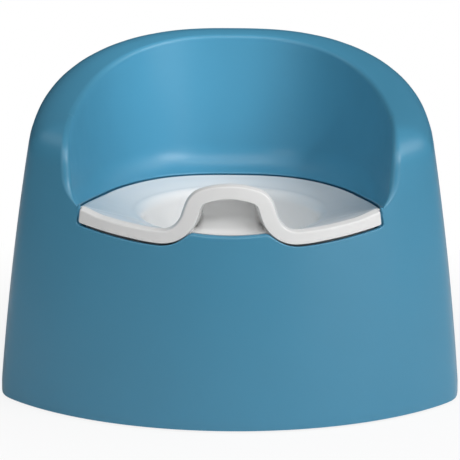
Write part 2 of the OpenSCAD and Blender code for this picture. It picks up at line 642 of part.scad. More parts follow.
// Pull-through foot: pad under the plate, neck in the hole, bulb above
module foot(p) {
    color("#3a3f45")
    translate([p[0], p[1], 0])
        rotate_extrude()
            polygon([
                [0, 0], [foot_r - 1, 0], [foot_r, 1], [foot_r, base_z], [foot_r * 0.3, base_z],
                [foot_r * 0.3, plate_top], [foot_r * 0.42, plate_top], [foot_r * 0.24, plate_top + 4],
                [0, plate_top + 4]]);
}

module foot_front_left() {
    foot(foot_pos[0]);
}

module foot_front_right() {
    foot(foot_pos[1]);
}

module foot_rear_left() {
    foot(foot_pos[2]);
}

module foot_rear_right() {
    foot(foot_pos[3]);
}

module base_screws() {
    color("#b8bcc0")
    for (th = boss_angles) boss_place(th) screw_up(base_t + boss_h - 8);
}

module pod_cover() {
    color("#c9ced3")
    difference() {
        union() {
            translate([0, seat_y, plate_top]) linear_extrude(pod_h) rounded(pod_w, pod_d, pod_r);
            for (p = ear_pos) translate([p[0], p[1], plate_top]) cylinder(r = boss_r, h = ear_h);
        }
        translate([0, seat_y, plate_top - 1])
            linear_extrude(pod_h - pod_t + 1) rounded(pod_w - 2 * pod_t, pod_d - 2 * pod_t, pod_r - pod_t);
        for (p = ear_pos) translate([p[0], p[1], plate_top - 1]) cylinder(r = screw_r, h = ear_grip + 3);
    }
}

module pod_screws() {
    color("#b8bcc0")
    for (p = ear_pos) translate([p[0], p[1], 0]) screw_up(base_t + ear_grip);
}

module circuit_board() {
    color("#2f6b46")
    difference() {
        translate([0, seat_y, board_z])
            linear_extrude(board_t) rounded(board_w, board_d, 3);
        for (p = post_pos) translate([p[0], p[1], board_z - 1]) cylinder(r = 1.4, h = board_t + 2);
    }
}

module board_screws() {
    color("#b8bcc0")
    for (p = post_pos)
        translate([p[0], p[1], board_z + board_t]) {
            cylinder(r = 2.4, h = 1.4);
            translate([0, 0, -board_t - board_grip]) cylinder(r = 1.05, h = board_t + board_grip + 0.1);
        }
}

module controller_chip() {
    color("#26282b")
    slab(-28, -14, -26, -12, board_z + board_t, board_z + board_t + 1.8);
}

module board_capacitors() {
    color("#4a5560")
    for (p = [[4, -14], [14, -14]])
        translate([p[0], p[1], board_z + board_t]) cylinder(r = 3.2, h = 4.6);
}

module sensor_plate() {
    color("#c98d5a")
    slab(sensor_in - pod_w / 2, pod_w / 2 - sensor_in, seat_y - pod_d / 2 + sensor_in,
        seat_y + pod_d / 2 - sensor_in, pod_top - pod_t - sensor_t, pod_top - pod_t);
}

module sensor_pin() {
    color("#d8b25a")
    translate([pod_w / 2 - sensor_in - pin_in, seat_y + 12, board_z + board_t])
        cylinder(r = 1.2, h = pod_top - pod_t - sensor_t - board_z - board_t);
}

// Speaker, facing the grille
module speaker_frame() {
    color("#9aa0a6")
    translate([speaker_pos[0], speaker_pos[1], plate_top])
        rotate_extrude()
            polygon([
                [speaker_r - 3, 0], [speaker_r, 0], [speaker_r, 1.6], [speaker_r - 3, 1.6],
                [speaker_r * 0.7, speaker_h], [7, speaker_h], [7, speaker_h - 1],
                [speaker_r * 0.66, speaker_h - 1], [speaker_r - 3, 1]]);
}

module speaker_magnet() {
    color("#4b4f54")
    translate([speaker_pos[0], speaker_pos[1], plate_top + speaker_h])
        cylinder(r = speaker_r * 0.58, h = magnet_h);
}

module speaker_cone() {
    color("#2a2c2f")
    translate([speaker_pos[0], speaker_pos[1], plate_top])
        rotate_extrude()
            polygon([
                [0, 3.2], [5, 4.4], [speaker_r - 3, 0.3], [speaker_r - 3, 0.9], [5.2, 5.2],
                [6.6, 5.2], [6.6, speaker_h - 0.4], [5.6, speaker_h - 0.4], [5.6, 5.9], [0, 4]]);
}

module speaker_leads() {
    color("#c0553f")
    for (dx = [-1.5, 1.5])
        translate([speaker_pos[0] + dx, speaker_pos[1] + speaker_r * 0.64, plate_top + speaker_h])
            cylinder(r = 0.5, h = board_h - speaker_h);
}

module microphone() {
    color("#b0b4b8")
    translate([mic_pos[0], mic_pos[1], board_z - 5.4]) cylinder(r = 4.85, h = 5.4);
}

// Push switch under the board, with the plunger that the button lifts
module record_switch() {
    color("#2a2c2f")
    difference() {
        translate([button_pos[0] - 3, button_pos[1] - 3, board_z - 3.6]) cube([6, 6, 3.6]);
        translate([button_pos[0], button_pos[1], board_z - 4.6])
            cylinder(r = 1.7 + slide_gap, h = 2.4 + button_travel + slide_gap);
    }
}

module record_plunger() {
    color("#e8e2d0")
    translate([button_pos[0], button_pos[1], board_z - 4.6]) cylinder(r = 1.7, h = 2.4);
}

module record_button() {
    color("#d5483f")
    translate([button_pos[0], button_pos[1], 0])
        rotate_extrude()
            polygon([
                [0, base_z - 1.2], [button_r - 0.8, base_z - 1.2], [button_r, base_z - 0.4],
                [button_r, plate_top + 0.3], [button_r + 1.8, plate_top + 0.3],
                [button_r + 1.8, plate_top + 1.6], [2.5, plate_top + 1.6], [2.5, board_z - 4.6],
                [0, board_z - 4.6]]);
}

module mode_switch_body() {
    color("#2a2c2f")
    difference() {
        slab(knob_pos[0] - 6.5, knob_pos[0] + 10.5, knob_pos[1] - 4, knob_pos[1] + 4, board_z - 8, board_z);
        slab(knob_pos[0] - 1.5 - slide_gap, knob_pos[0] + 1.5 + knob_travel + slide_gap,
            knob_pos[1] - 1 - slide_gap, knob_pos[1] + 1 + slide_gap, board_z - 9, board_z - 4);
    }
}

module mode_switch_knob() {
    color("#e9ecee")
    difference() {
        union() {
            slab(knob_pos[0] - 2.5, knob_pos[0] + 2.5, knob_pos[1] - 2, knob_pos[1] + 2,
                base_z - 1.2, board_z - 8.5);
            slab(knob_pos[0] - 9, knob_pos[0] + 7.5, knob_pos[1] - 4.5, knob_pos[1] + 4.5,
                plate_top + 0.3, plate_top + 1.5);
            slab(knob_pos[0] - 1.5, knob_pos[0] + 1.5, knob_pos[1] - 1, knob_pos[1] + 1,
                board_z - 8.6, board_z - 5);
        }
        for (dx = [-1.2, 0, 1.2])
            slab(knob_pos[0] + dx - 0.25, knob_pos[0] + dx + 0.25, knob_pos[1] - 3, knob_pos[1] + 3,
                base_z - 2, base_z - 0.9);
    }
}

// Battery bay: tray over the frame, cells along X, contacts at both ends
cell_z = frame_top + 0.6 + cell_r;
tray_top = frame_top + 2 * cell_r + 2.2;

module battery_tray() {
    color("#2f3338")
    difference() {
        slab(-bay_x - 2, bay_x + 2, bay_mid - bay_y - 2, bay_mid + bay_y + 2, frame_top, tray_top + 1.8);
        slab(-bay_x, bay_x, bay_mid - bay_y, bay_mid + bay_y, frame_top - 1, tray_top);
        for (sx = [-1, 1])
            slab(sx * (bay_x - 0.4) - 0.5, sx * (bay_x - 0.4) + 0.5, bay_mid - 1.7, bay_mid + 1.7,
                tray_top - 1, tray_top + 3);
    }
}

module batteries() {
    for (i = [-1, 0, 1])
        translate([0, bay_mid + i * cell_pitch, cell_z])
            rotate([0, 90, i == 0 ? 180 : 0]) {
                color("#3b7f55") translate([0, 0, -cell_l / 2]) cylinder(r = cell_r, h = cell_l - 1);
                color("#c8ccd0") translate([0, 0, cell_l / 2 - 1.1]) cylinder(r = 1.9, h = 1.1);
            }
}

module battery_contacts() {
    color("#d0d4d8")
    for (sx = [-1, 1]) {
        for (i = [-1, 0, 1])
            slab(sx * (bay_x - 0.4) - 0.25, sx * (bay_x - 0.4) + 0.25,
                bay_mid + i * cell_pitch - 4.2, bay_mid + i * cell_pitch + 4.2, cell_z - 4.4, cell_z + 4.4);
        slab(sx * (bay_x - 0.4) - 0.25, sx * (bay_x - 0.4) + 0.25, bay_mid - 1.2, bay_mid + 1.2,
            cell_z + 4, board_z);
    }
}

// Bowed leaves between the contacts and the cells
module battery_springs() {
    reach = bay_x - 0.65 - cell_l / 2;
    leaf = cell_r - 1.25;
    bow = (leaf * leaf + reach * reach) / (2 * reach);
    color("#d0d4d8")
    for (i = [-1, 0, 1], sx = [-1, 1])
        intersection() {
            translate([sx * (cell_l / 2 + bow), bay_mid + i * cell_pitch - 2, cell_z])
                rotate([-90, 0, 0]) tube(bow, bow - 0.4, 0, 4);
            slab(sx > 0 ? cell_l / 2 - 1 : -bay_x + 0.65, sx > 0 ? bay_x - 0.65 : -cell_l / 2 + 1,
                bay_mid + i * cell_pitch - 3, bay_mid + i * cell_pitch + 3, cell_z - 4.4, cell_z + 4.4);
        }
}

module battery_door() {
    color("#d3d8dc")
    difference() {
        union() {
            slab(hinge_x, rec_x, bay_mid - rec_y + door_gap, bay_mid + rec_y - door_gap,
                base_z, base_z + door_t);
            slab(rec_x - 0.1, rec_x + 11.4, bay_mid - 6.4, bay_mid + 6.4, base_z, base_z + door_t);
            translate([hinge_x, bay_mid - rec_y + door_gap, hinge_z])
                rotate([-90, 0, 0]) cylinder(r = door_t / 2, h = 2 * (rec_y - door_gap));
            translate([hinge_x, bay_mid - rec_y - 2, hinge_z])
                rotate([-90, 0, 0]) cylinder(r = pin_r, h = 2 * rec_y + 4);
        }
        // Finger grooves and the sunk seat of the screw's head
        for (i = [-2:2]) slab(8 + 4 * i, 10 + 4 * i, bay_mid - 12, bay_mid + 12, base_z - 1, base_z + 0.5);
        translate([rec_x + 6, bay_mid, base_z - 1]) cylinder(r = screw_r + 0.05, h = door_t + 2);
        translate([rec_x + 6, bay_mid, base_z - 1]) cylinder(r = head_r + 0.3, h = 2);
    }
}

module door_seal() {
    color("#4a4f55")
    difference() {
        slab(-bay_x - 3.2, bay_x + 3.2, bay_mid - bay_y - 2.6, bay_mid + bay_y + 2.6,
            base_z + door_t, base_z + door_t + seal_t);
        slab(-bay_x - 0.6, bay_x + 0.6, bay_mid - bay_y - 0.6, bay_mid + bay_y + 0.6,
            base_z + door_t - 1, frame_top);
    }
}

module door_screw() {
    color("#b8bcc0")
    translate([rec_x + 6, bay_mid, 0])
        difference() {
            union() {
                translate([0, 0, base_z - 0.6]) cylinder(r = head_r, h = 1.6);
                translate([0, 0, base_z + 0.9]) cylinder(r = screw_r, h = door_t + 1.6);
            }
            for (a = [0, 90])
                rotate(a) slab(-1.9, 1.9, -0.4, 0.4, base_z - 2, base_z + 0.2);
        }
}

outer_shell();
seat_bowl();
base_plate();
foot_front_left();
foot_front_right();
foot_rear_left();
foot_rear_right();
base_screws();
pod_cover();
pod_screws();
circuit_board();
board_screws();
controller_chip();
board_capacitors();
sensor_plate();
sensor_pin();
speaker_frame();
speaker_magnet();
speaker_cone();
speaker_leads();
microphone();
record_switch();
record_plunger();
record_button();
mode_switch_body();
mode_switch_knob();
battery_tray();
batteries();
battery_contacts();
battery_springs();
battery_door();
door_seal();
door_screw();
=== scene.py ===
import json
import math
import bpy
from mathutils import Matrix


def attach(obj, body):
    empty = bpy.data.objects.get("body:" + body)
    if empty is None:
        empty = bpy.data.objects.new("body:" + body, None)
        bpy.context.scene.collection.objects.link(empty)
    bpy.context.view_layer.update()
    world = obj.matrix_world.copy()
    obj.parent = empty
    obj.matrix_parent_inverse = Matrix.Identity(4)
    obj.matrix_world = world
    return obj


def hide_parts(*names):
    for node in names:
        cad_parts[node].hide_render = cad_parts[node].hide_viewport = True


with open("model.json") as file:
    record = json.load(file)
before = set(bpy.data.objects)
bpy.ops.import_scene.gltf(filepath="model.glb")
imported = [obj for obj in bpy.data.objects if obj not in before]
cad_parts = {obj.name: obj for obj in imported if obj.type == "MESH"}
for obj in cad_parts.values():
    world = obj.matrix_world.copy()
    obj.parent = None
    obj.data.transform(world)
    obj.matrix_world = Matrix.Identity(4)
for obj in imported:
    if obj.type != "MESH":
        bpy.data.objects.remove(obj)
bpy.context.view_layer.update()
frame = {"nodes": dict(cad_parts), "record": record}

# Potty training chair: the moulded shell and the lift-out bowl as fine meshes, and the finish of every
# piece. Shapes are worked out in millimetres round the upright seat axis, where the angle is 0 at the
# front, and become metres as each mesh is made.

from types import SimpleNamespace

import bmesh
import bpy
import numpy as np
from mathutils import Matrix, Vector

MM = 0.001

# Outside of the shell
SHELL_W = 348.0
SHELL_D = 336.0
SEAT_Y = -22.0
FRONT_R = 213.0
PLAN_N = 2.38
CORNER_P = 85.0
SKIN = 3.0
DRAFT = 0.083
BARREL = 0.00023
FOOT_GAP = 1.5
FOOT_ROUND = 0.5

# Top of the backrest and arms, with a rounding that goes so far down the wall and in along the top.
# Near is what the front of the arms adds to it.
CREST_Z = 254.15
CREST_Y = 114.0
TOP_SLOPE = 0.375
TOP_DISH = 0.00058
ARM_DOWN = 14.3
ARM_IN = 26.2
BACK_DOWN = 22.8
BACK_IN = 24.9
ARM_TH = math.radians(60)
BACK_TURN = math.radians(100)
NEAR_DOWN = 8.0
NEAR_IN = 8.0
NEAR_TH = math.radians(62)
NEAR_FADE = math.radians(30)
TURN_LEN = 0.85

# Inside of the seat
CAV_W = 234.4
CAV_BACK = 98.5
CAV_MID = -96.0
CAV_N = 2.6
CAV_LEAN = 0.086
CAV_REF = 206.5
FOOT_RAD = 26.0
FOOT_H = 13.4
FOOT_H_BACK = 21.5
FOOT_TURN = math.radians(80)
FOOT_LIFT = 1.6
FOOT_EDGE = 1.0
RECESS = 3.2
EDGE_ROUND = 4.6
EDGE_REACH = 9.0
REACH_FADE = 26.0

# Seat edge and front rim
SEAT_Z = 139.5
SEAT_RISE = 12.0
RISE_Y = -6.0
RISE_LEN = 113.0
RISE_POWER = 1.5
SEAT_FRONT = -160.0
SHELF_D = 8.0
SHELF_T = 3.0
RIB_D = 1.5
RIM_BACK = 5.0
DIP_Z = 130.1
MID_LIFT = 8.1
MID_SAG = 2.0
RIM_BLEND = 4.0
RIM_ROUND = 0.9
GRIP_ROUND = 2.8
GRIP_LEAD = 4.0
GRIP_FADE = 10.0
END_GAP = 1.1
END_CORNER = 2.2

# Bowl
WELL_W = 131.0
WELL_L = 176.0
WELL_Y = -37.0
WELL_Z = 134.6
FLOOR_Z = 48.0
FLOOR_RISE = 0.3
WELL_TAPER = 0.8
WELL_ROUND = 9.0
WELL_DROP = 9.0
BASE_FILLET_R = 26.0
BASE_FILLET_H = 24.0
FILLET_TURN = 0.98
WELL_BEND = 1.35
BOWL_T = 2.7
DECK_T = 4.05
DECK_EDGE = 1.2
DECK_DISH = -0.6
DECK_EASE = 0.8
DECK_TURN = 4
GUARD_D = 19.0
GUARD_EDGE = 0.4
LIP_GAP = 0.8
SIDE_GAP = 1.5
SEAT_GAP = 0.25

# Underside of the bowl: the finger scoop, the flange inside the front rim, and the way to the well
SCOOP_D = 15.0
SCOOP_TURN = 0.6
SCOOP_LEAST = 0.3
FLANGE_FROM = 4.0
FLANGE_TO = 1.0
FLANGE_IN = 5.0
FLANGE_GAP = 0.7
FLANGE_LIFT = 0.15
FLANGE_DROP = 3.0
FLANGE_T = 1.5
FLAT_IN = 2.5
FLAT_EDGE = 0.05
START_FALL = 1.2
START_RISE = 0.2
UNDER_IN = 2.2
UNDER_EDGE = 1.5
UNDER_GAP = 0.2
UNDER_OUT = 1.0
GRIP_FALL = 2.6
GRIP_OUT = 1.2
GRIP_OUT_FALL = 6.0
OUT_FALL = 10.0
OUT_GAP = 0.4
OUT_SINK = 0.6
OUT_STEP = 2.0
TINY = 0.001

# Lip and arch
BAND_H = 11.2
LEG_SWELL = 0.72
ARCH_TOP = 174.36
ARCH_CROWN = 59.7
ARCH_TURN = math.radians(19.1)
ARCH_ROUND = 11.6
LEG_TILT = math.radians(72.6)
DIP_ROUND = 20.5
BEAD_DEPTH = 5.0
BEAD_RISE = 2.4
BEAD_LEN = 55.0
BEAD_ON_ARCH = 0.25
LIP_UNDER = 3.2
LIP_EDGE = 0.4
LIP_TRIM = 0.35
DIP_TRIM = 0.4
DIP_TRIM_LEAD = 12.6
DIP_TRIM_LEN = 14.0
END_TRIM = 0.4
END_TRIM_LEN = 25.0
END_RISE = 1.2
LIP_END_GAP = 1.6
LIP_END_ROUND = 1.4
LIP_END_CORNER = 2.0
LIP_END_TOP = 0.9
LIP_END_TURN = 16.0

# Screw bosses inside the shell
BOSS_TH = np.radians([25.0, 78.0, 138.0])
BOSS_R = 5.0
BOSS_H = 24.0
BOSS_IN = 9.0
BOSS_EDGE = 0.6
BOSS_SIDES = 32
BORE_R = 1.5
BORE_H = 19.0
WEB_T = 3.0
WEB_H = 14.0
WEB_REACH = 8.7
WEB_SINK = 0.1
PLATE_TOP = 7.0

# Camera fitted to the photograph's frame of 460 by 460 pixels
FRAME_PX = 460
CAMERA_REACH = 1.50575
CAMERA_HEIGHT = 0.42794
CAMERA_TURN = 0.0087
CAMERA_PITCH = 0.2076837
CAMERA_ROLL = 0.0062994
FOCAL_PX = 1990.6488
SHIFT_PX = 1.2778
SENSOR_MM = 36.0

BACK_B = SHELL_D / 2 - SEAT_Y
CIRCLE_Y = FRONT_R - SHELL_D / 2 - SEAT_Y
LIP_HALF = BAND_H / 2


# Shared formulas

def mix(a, b, t):
    return a + (b - a) * t


def ease(t):
    """Smooth step from 0 to 1."""
    u = np.clip(t, 0.0, 1.0)
    return u * u * (3.0 - 2.0 * u)


def bisect(inside, low, high, steps=40):
    """Largest value for which inside(value) holds, searched between the arrays low and high."""
    for _ in range(steps):
        middle = (low + high) / 2
        found = inside(middle)
        low = np.where(found, middle, low)
        high = np.where(found, high, middle)
    return (low + high) / 2


def unit(v):
    return v / np.linalg.norm(v, axis=-1, keepdims=True)


def quarter(r, d):
    """How far a rounding of radius r has fallen at the distance d from its edge."""
    left = r - np.clip(d, 0.0, r)
    return r - np.sqrt(np.maximum(r * r - left * left, 0.0))


def at_y(th, r):
    """Place along Y of the radius r at an angle."""
    return SEAT_Y - r * np.cos(th)


def to_xyz(th, r, z):
    return np.stack(np.broadcast_arrays(r * np.sin(th), at_y(th, r), z), -1)


def to_polar(p):
    y = SEAT_Y - p[..., 1]
    return np.arctan2(p[..., 0], y), np.hypot(p[..., 0], y), p[..., 2]


# Outside of the shell

def plan_r(th):
    """Radius of the foot's outline: a round bow in front, an oval at the sides and back."""
    k = -np.cos(th) * CIRCLE_Y
    bow = k + np.sqrt(k * k - CIRCLE_Y ** 2 + FRONT_R ** 2)
    sx = np.abs(np.sin(th)) / (SHELL_W / 2)
    sy = np.abs(np.cos(th)) / BACK_B
    oval = (sx ** PLAN_N + sy ** PLAN_N) ** (-1 / PLAN_N)
    return (bow ** -CORNER_P + oval ** -CORNER_P) ** (-1 / CORNER_P)


def wall_r(th, z):
    """Radius of the outer wall, which leans in and bulges a little."""
    h = z - FOOT_GAP
    return plan_r(th) - DRAFT * h - BARREL * h * h


def wall(th, z):
    return to_xyz(th, wall_r(th, z), z)


def top_z(y):
    """Height of the top, which falls from its crest towards the front."""
    d = y - CREST_Y
    return CREST_Z + TOP_SLOPE * d + TOP_DISH * d * d


def top_corner(th, steps=10):
    """Height at which the wall would meet the top without its rounding."""
    z = np.full_like(th, CREST_Z)
    for _ in range(steps):
        z = top_z(at_y(th, wall_r(th, z)))
    return z


def outer_rz(th, s):
    """Radius and height of the outside at the length s along its section: wall, rounding, top."""
    corner = top_corner(th)
    back = ease((th - ARM_TH) / BACK_TURN)
    near = 1 - ease((th - NEAR_TH) / NEAR_FADE)
    down = mix(ARM_DOWN, BACK_DOWN, back) + NEAR_DOWN * near
    wide = mix(ARM_IN, BACK_IN, back) + NEAR_IN * near
    start = corner - down
    run = TURN_LEN * (down + wide)
    corner_r = wall_r(th, corner)
    end_r = corner_r - wide
    u = np.clip((s - start) / run, 0.0, 1.0)
    a, b, c = (1 - u) ** 2, 2 * u * (1 - u), u * u
    r_round = a * wall_r(th, start) + b * corner_r + c * end_r
    z_round = a * start + b * corner + c * top_z(at_y(th, end_r))
    r_top = end_r - (s - start - run)
    on_wall, on_round = s <= start, s <= start + run
    r = np.where(on_wall, wall_r(th, np.minimum(s, start)), np.where(on_round, r_round, r_top))
    z = np.where(on_wall, s, np.where(on_round, z_round, top_z(at_y(th, r_top))))
    return r, z


def outer(th, s):
    return to_xyz(th, *outer_rz(th, s))


def outer_in(th, s, depth):
    """Point at a depth under the outside, square to its section."""
    step = 0.5
    r0, z0 = outer_rz(th, s - step)
    r1, z1 = outer_rz(th, s + step)
    r, z = outer_rz(th, s)
    length = np.hypot(r1 - r0, z1 - z0)
    return r - depth * (z1 - z0) / length, z + depth * (r1 - r0) / length


# Inside of the seat

CAVITY_LEAST = 40.0
CAVITY_MOST = 400.0


def cav_r(th, inset):
    """Radius of the cavity's plan, drawn in by an inset."""
    def inside(r):
        x = np.abs(r * np.sin(th)) / (CAV_W / 2 - inset)
        y = np.maximum(0.0, at_y(th, r) - CAV_MID) / (CAV_BACK - CAV_MID - inset)
        return x ** CAV_N + y ** CAV_N < 1.0

    start = np.zeros(np.broadcast(th, inset).shape)
    return bisect(inside, start + CAVITY_LEAST, start + CAVITY_MOST)


def fil_h(th):
    """Height of the rounding at the foot of the cavity's wall."""
    return mix(FOOT_H, FOOT_H_BACK, ease((th - ARM_TH) / FOOT_TURN))


def fil_in(h):
    """How far that rounding comes in at the depth h below its start."""
    return FOOT_RAD - np.sqrt(FOOT_RAD ** 2 - h * h)


def foot_r(th, z):
    """Radius of the cavity where the rounding of its foot ends."""
    return cav_r(th, CAV_LEAN * (CAV_REF - z) + fil_in(fil_h(th)))


def seat_edge(th):
    """Height of the seat's edge, which rises towards the front."""
    y = np.maximum(at_y(th, foot_r(th, SEAT_Z)), SEAT_FRONT)
    return SEAT_Z + SEAT_RISE * (np.maximum(0.0, RISE_Y - y) / RISE_LEN) ** RISE_POWER


def cavity_r(th, z):
    """Radius of the cavity's wall with its rounded foot."""
    h = np.clip(seat_edge(th) + FOOT_LIFT + fil_h(th) - z, 0.0, fil_h(th))
    return cav_r(th, CAV_LEAN * (CAV_REF - z) + fil_in(h))


def cavity(th, z):
    return to_xyz(th, cavity_r(th, z), z)


def side_r(th):
    """Radius of the opening that takes the bowl."""
    edge = seat_edge(th)
    return np.minimum(foot_r(th, edge), wall_r(th, edge) - SKIN)


def past_corner(th):
    """Whether the seat's edge would lie outside the wall, as it does in front of the corner."""
    edge = seat_edge(th)
    return foot_r(th, edge) > wall_r(th, edge)


# Corner where the seat's edge meets the front, sought between two angles
CORNER_RANGE = np.radians([[30.0], [62.0]])
CORNER_TH = float(bisect(past_corner, *CORNER_RANGE)[0])
CORNER_R = float(wall_r(np.array([CORNER_TH]), SEAT_Z)[0])
CORNER_X = CORNER_R * math.sin(CORNER_TH)
CORNER_Z = float(seat_edge(np.array([CORNER_TH]))[0])
LIP_RISE = CORNER_Z - LIP_GAP - BAND_H - DIP_Z

# Lip: middle line from the arch's top outward, as crown, shoulder, leg, turn, dip

LIP_TOP_Z = ARCH_TOP - LIP_HALF
LIP_DIP_Z = DIP_Z + LIP_GAP + LIP_HALF
SHOULDER_X = (ARCH_CROWN - ARCH_ROUND) * math.sin(ARCH_TURN)
SHOULDER_Z = LIP_TOP_Z - ARCH_CROWN + (ARCH_CROWN - ARCH_ROUND) * math.cos(ARCH_TURN)
TURN_Z = LIP_DIP_Z + DIP_ROUND
LEG_DROP = SHOULDER_Z - TURN_Z + (ARCH_ROUND + DIP_ROUND) * math.cos(LEG_TILT)
DIP_X = SHOULDER_X + (ARCH_ROUND + DIP_ROUND) * math.sin(LEG_TILT) + LEG_DROP / math.tan(LEG_TILT)
GRIP_X = DIP_X - math.sqrt((DIP_ROUND + LIP_HALF) ** 2 - (DIP_ROUND + LIP_HALF - MID_LIFT) ** 2)


def lip_z(x, o):
    """Height of the lip's line at x, at the offset o above its middle line."""
    rc, rs, rf = ARCH_CROWN + o, ARCH_ROUND + o, DIP_ROUND - o
    x_leg = SHOULDER_X + rs * math.sin(LEG_TILT)
    crown = LIP_TOP_Z - ARCH_CROWN + np.sqrt(np.maximum(rc * rc - x * x, 0.0))
    shoulder = SHOULDER_Z + np.sqrt(np.maximum(rs * rs - (x - SHOULDER_X) ** 2, 0.0))
    leg = SHOULDER_Z + rs * math.cos(LEG_TILT) - (x - x_leg) * math.tan(LEG_TILT)
    turn = TURN_Z - np.sqrt(np.maximum(rf * rf - (DIP_X - x) ** 2, 0.0))
    rise = LIP_DIP_Z + o + LIP_RISE * (np.maximum(x - DIP_X, 0.0) / (CORNER_X - DIP_X)) ** RISE_POWER
    places = [x < rc * math.sin(ARCH_TURN), x < x_leg, x < DIP_X - rf * math.sin(LEG_TILT), x < DIP_X]
    return np.select(places, [crown, shoulder, leg, turn], rise)


def lip_x(th):
    """Distance of the wall from the middle plane, at the seat's height."""
    return wall_r(th, SEAT_Z) * np.sin(th)


def lip_th(x):
    """Angle at which the wall has the distance x from the middle plane."""
    zero = np.zeros_like(x)
    return bisect(lambda th: lip_x(th) < x, zero, zero + CORNER_RANGE[1])


def arch_w(x):
    """Share of the arch's rise at x: 0 in the dip, 1 at the arch's top."""
    low = DIP_Z + LIP_GAP + BAND_H
    return np.where(x > DIP_X, 0.0, np.clip((lip_z(x, LIP_HALF) - low) / (ARCH_TOP - low), 0.0, 1.0))


def rim_z(x):
    """Front rim of the shell, under the lip and level across the grip opening."""
    a = lip_z(x, -LIP_HALF) - LIP_GAP
    b = DIP_Z + MID_LIFT + MID_SAG * (x / GRIP_X) ** 2
    h = np.maximum(0.0, RIM_BLEND - np.abs(a - b))
    return np.where(x > DIP_X, a, np.minimum(a, b) - h * h / (4 * RIM_BLEND))


# Mesh building

MERGE_M = 1e-7
SHARP_EDGE = math.radians(38)


def surface_frame(surface, th, v, tangent):
    """Normal of a surface at (th, v), and the step in (th, v) that is square to the tangent, 1 mm long."""
    d_th, d_v = 1e-4, 0.02
    a = (surface(th + d_th, v) - surface(th - d_th, v)) / (2 * d_th)
    b = (surface(th, v + d_v) - surface(th, v - d_v)) / (2 * d_v)
    normal = unit(np.cross(a, b))
    side = unit(np.cross(tangent, normal))
    aa, ab, bb = (a * a).sum(-1), (a * b).sum(-1), (b * b).sum(-1)
    sa, sb = (side * a).sum(-1), (side * b).sum(-1)
    det = aa * bb - ab * ab
    return normal, (sa * bb - sb * ab) / det, (sb * aa - sa * ab) / det


def respaced(points, step, *values):
    """Values along a line of points, taken again so that neighbours lie about a step apart."""
    gaps = np.linalg.norm(np.diff(points, axis=0), axis=1)
    walk = np.concatenate([[0.0], np.cumsum(gaps / ((step[1:] + step[:-1]) / 2))])
    count = int(math.ceil(walk[-1]))
    pick = np.linspace(0.0, 1.0, len(walk))
    share = np.interp(np.linspace(0.0, walk[-1], count + 1), walk, pick)
    return [np.interp(share, pick, v) for v in values]


def arc_rows(a, corner, c, shares):
    """Rows of points along the round arcs from a to c that touch both sides of the corner points."""
    spread_cos = (unit(a - corner) * unit(c - corner)).sum(-1)
    weight = np.sqrt((1 - spread_cos) / 2)[:, None]
    rows = []
    for t in shares:
        total = (1 - t) ** 2 + 2 * t * (1 - t) * weight + t * t
        rows.append(((1 - t) ** 2 * a + 2 * t * (1 - t) * weight * corner + t * t * c) / total)
    return rows


def ring_object(name, half, closed, caps=()):
    """Object from the columns of one half, mirrored; closed joins the last row to the first."""
    mirrored = half[-2:0:-1] * np.array([-1.0, 1.0, 1.0])
    columns = np.concatenate([half, mirrored])
    m, n = columns.shape[:2]
    verts = columns.reshape(-1, 3)
    i = np.arange(m)[:, None]
    j = np.arange(n if closed else n - 1)[None, :]
    i1, j1 = (i + 1) % m, (j + 1) % n
    quads = np.stack(np.broadcast_arrays(i * n + j, i1 * n + j, i1 * n + j1, i * n + j1), -1)
    faces = [tuple(q) for q in quads.reshape(-1, 4).tolist()]
    for row, centre in caps:
        verts = np.concatenate([verts, [centre]])
        faces += [(k * n + row, ((k + 1) % m) * n + row, len(verts) - 1) for k in range(m)]
    mesh = bpy.data.meshes.new(name)
    mesh.from_pydata((verts * MM).tolist(), [], faces)
    return finish_mesh(name, mesh)


def finish_mesh(name, mesh):
    """Object from a mesh, with double points merged and smooth shading up to sharp edges."""
    work = bmesh.new()
    work.from_mesh(mesh)
    bmesh.ops.remove_doubles(work, verts=work.verts, dist=MERGE_M)
    bmesh.ops.dissolve_degenerate(work, edges=work.edges, dist=MERGE_M)
    bmesh.ops.recalc_face_normals(work, faces=work.faces)
    work.to_mesh(mesh)
    work.free()
    mesh.polygons.foreach_set("use_smooth", [True] * len(mesh.polygons))
    mesh.set_sharp_from_angle(angle=SHARP_EDGE)
    piece = bpy.data.objects.new(name, mesh)
    bpy.context.scene.collection.objects.link(piece)
    return piece


# Outer shell

WALL_ROWS = 46
EDGE_ROWS = 11
FACE_ROWS = 26
HOLLOW_ROWS = 8
DOWN_ROWS = 22
FLANGE_ROWS = 4
FOOT_SHARES = (0.2, 0.4, 0.6, 0.8, 1.0)
WALL_CROWD = 1.5
DOWN_CROWD = 1.4
HAIR = 0.02

# Samples of the edge before its columns are spaced, and the distances between columns
RIM_SAMPLES = 1500
TURN_SAMPLES = 60
UP_SAMPLES = 200
ARM_SAMPLES = 700
WIDE_STEP = 3.0
RIM_STEP = 1.2
END_STEP = 0.7
STEP_FADE = 8.0
END_FADE = 2.0
ARM_STEP = 1.0
BACK_STEP = 4.0
BACK_STEP_TH = 1.1
NEAR_SPAN = 0.35
EDGE_BELOW = 3.0
SECTION_END = 330.0

# Columns of the outside fan out under the slot's upright end
FAN = math.radians(3.5)
FAN_FADE = 0.45

# Hollow between the cavity's wall and the outer wall
HOLLOW_START = 1.0
HOLLOW_GAP = 0.6
HOLLOW_LEAST = 2.0
HOLLOW_TAPER = 0.9
DOWN_END = 0.6
RECESS_FALL = 0.1
RIB_FALL = 1.0


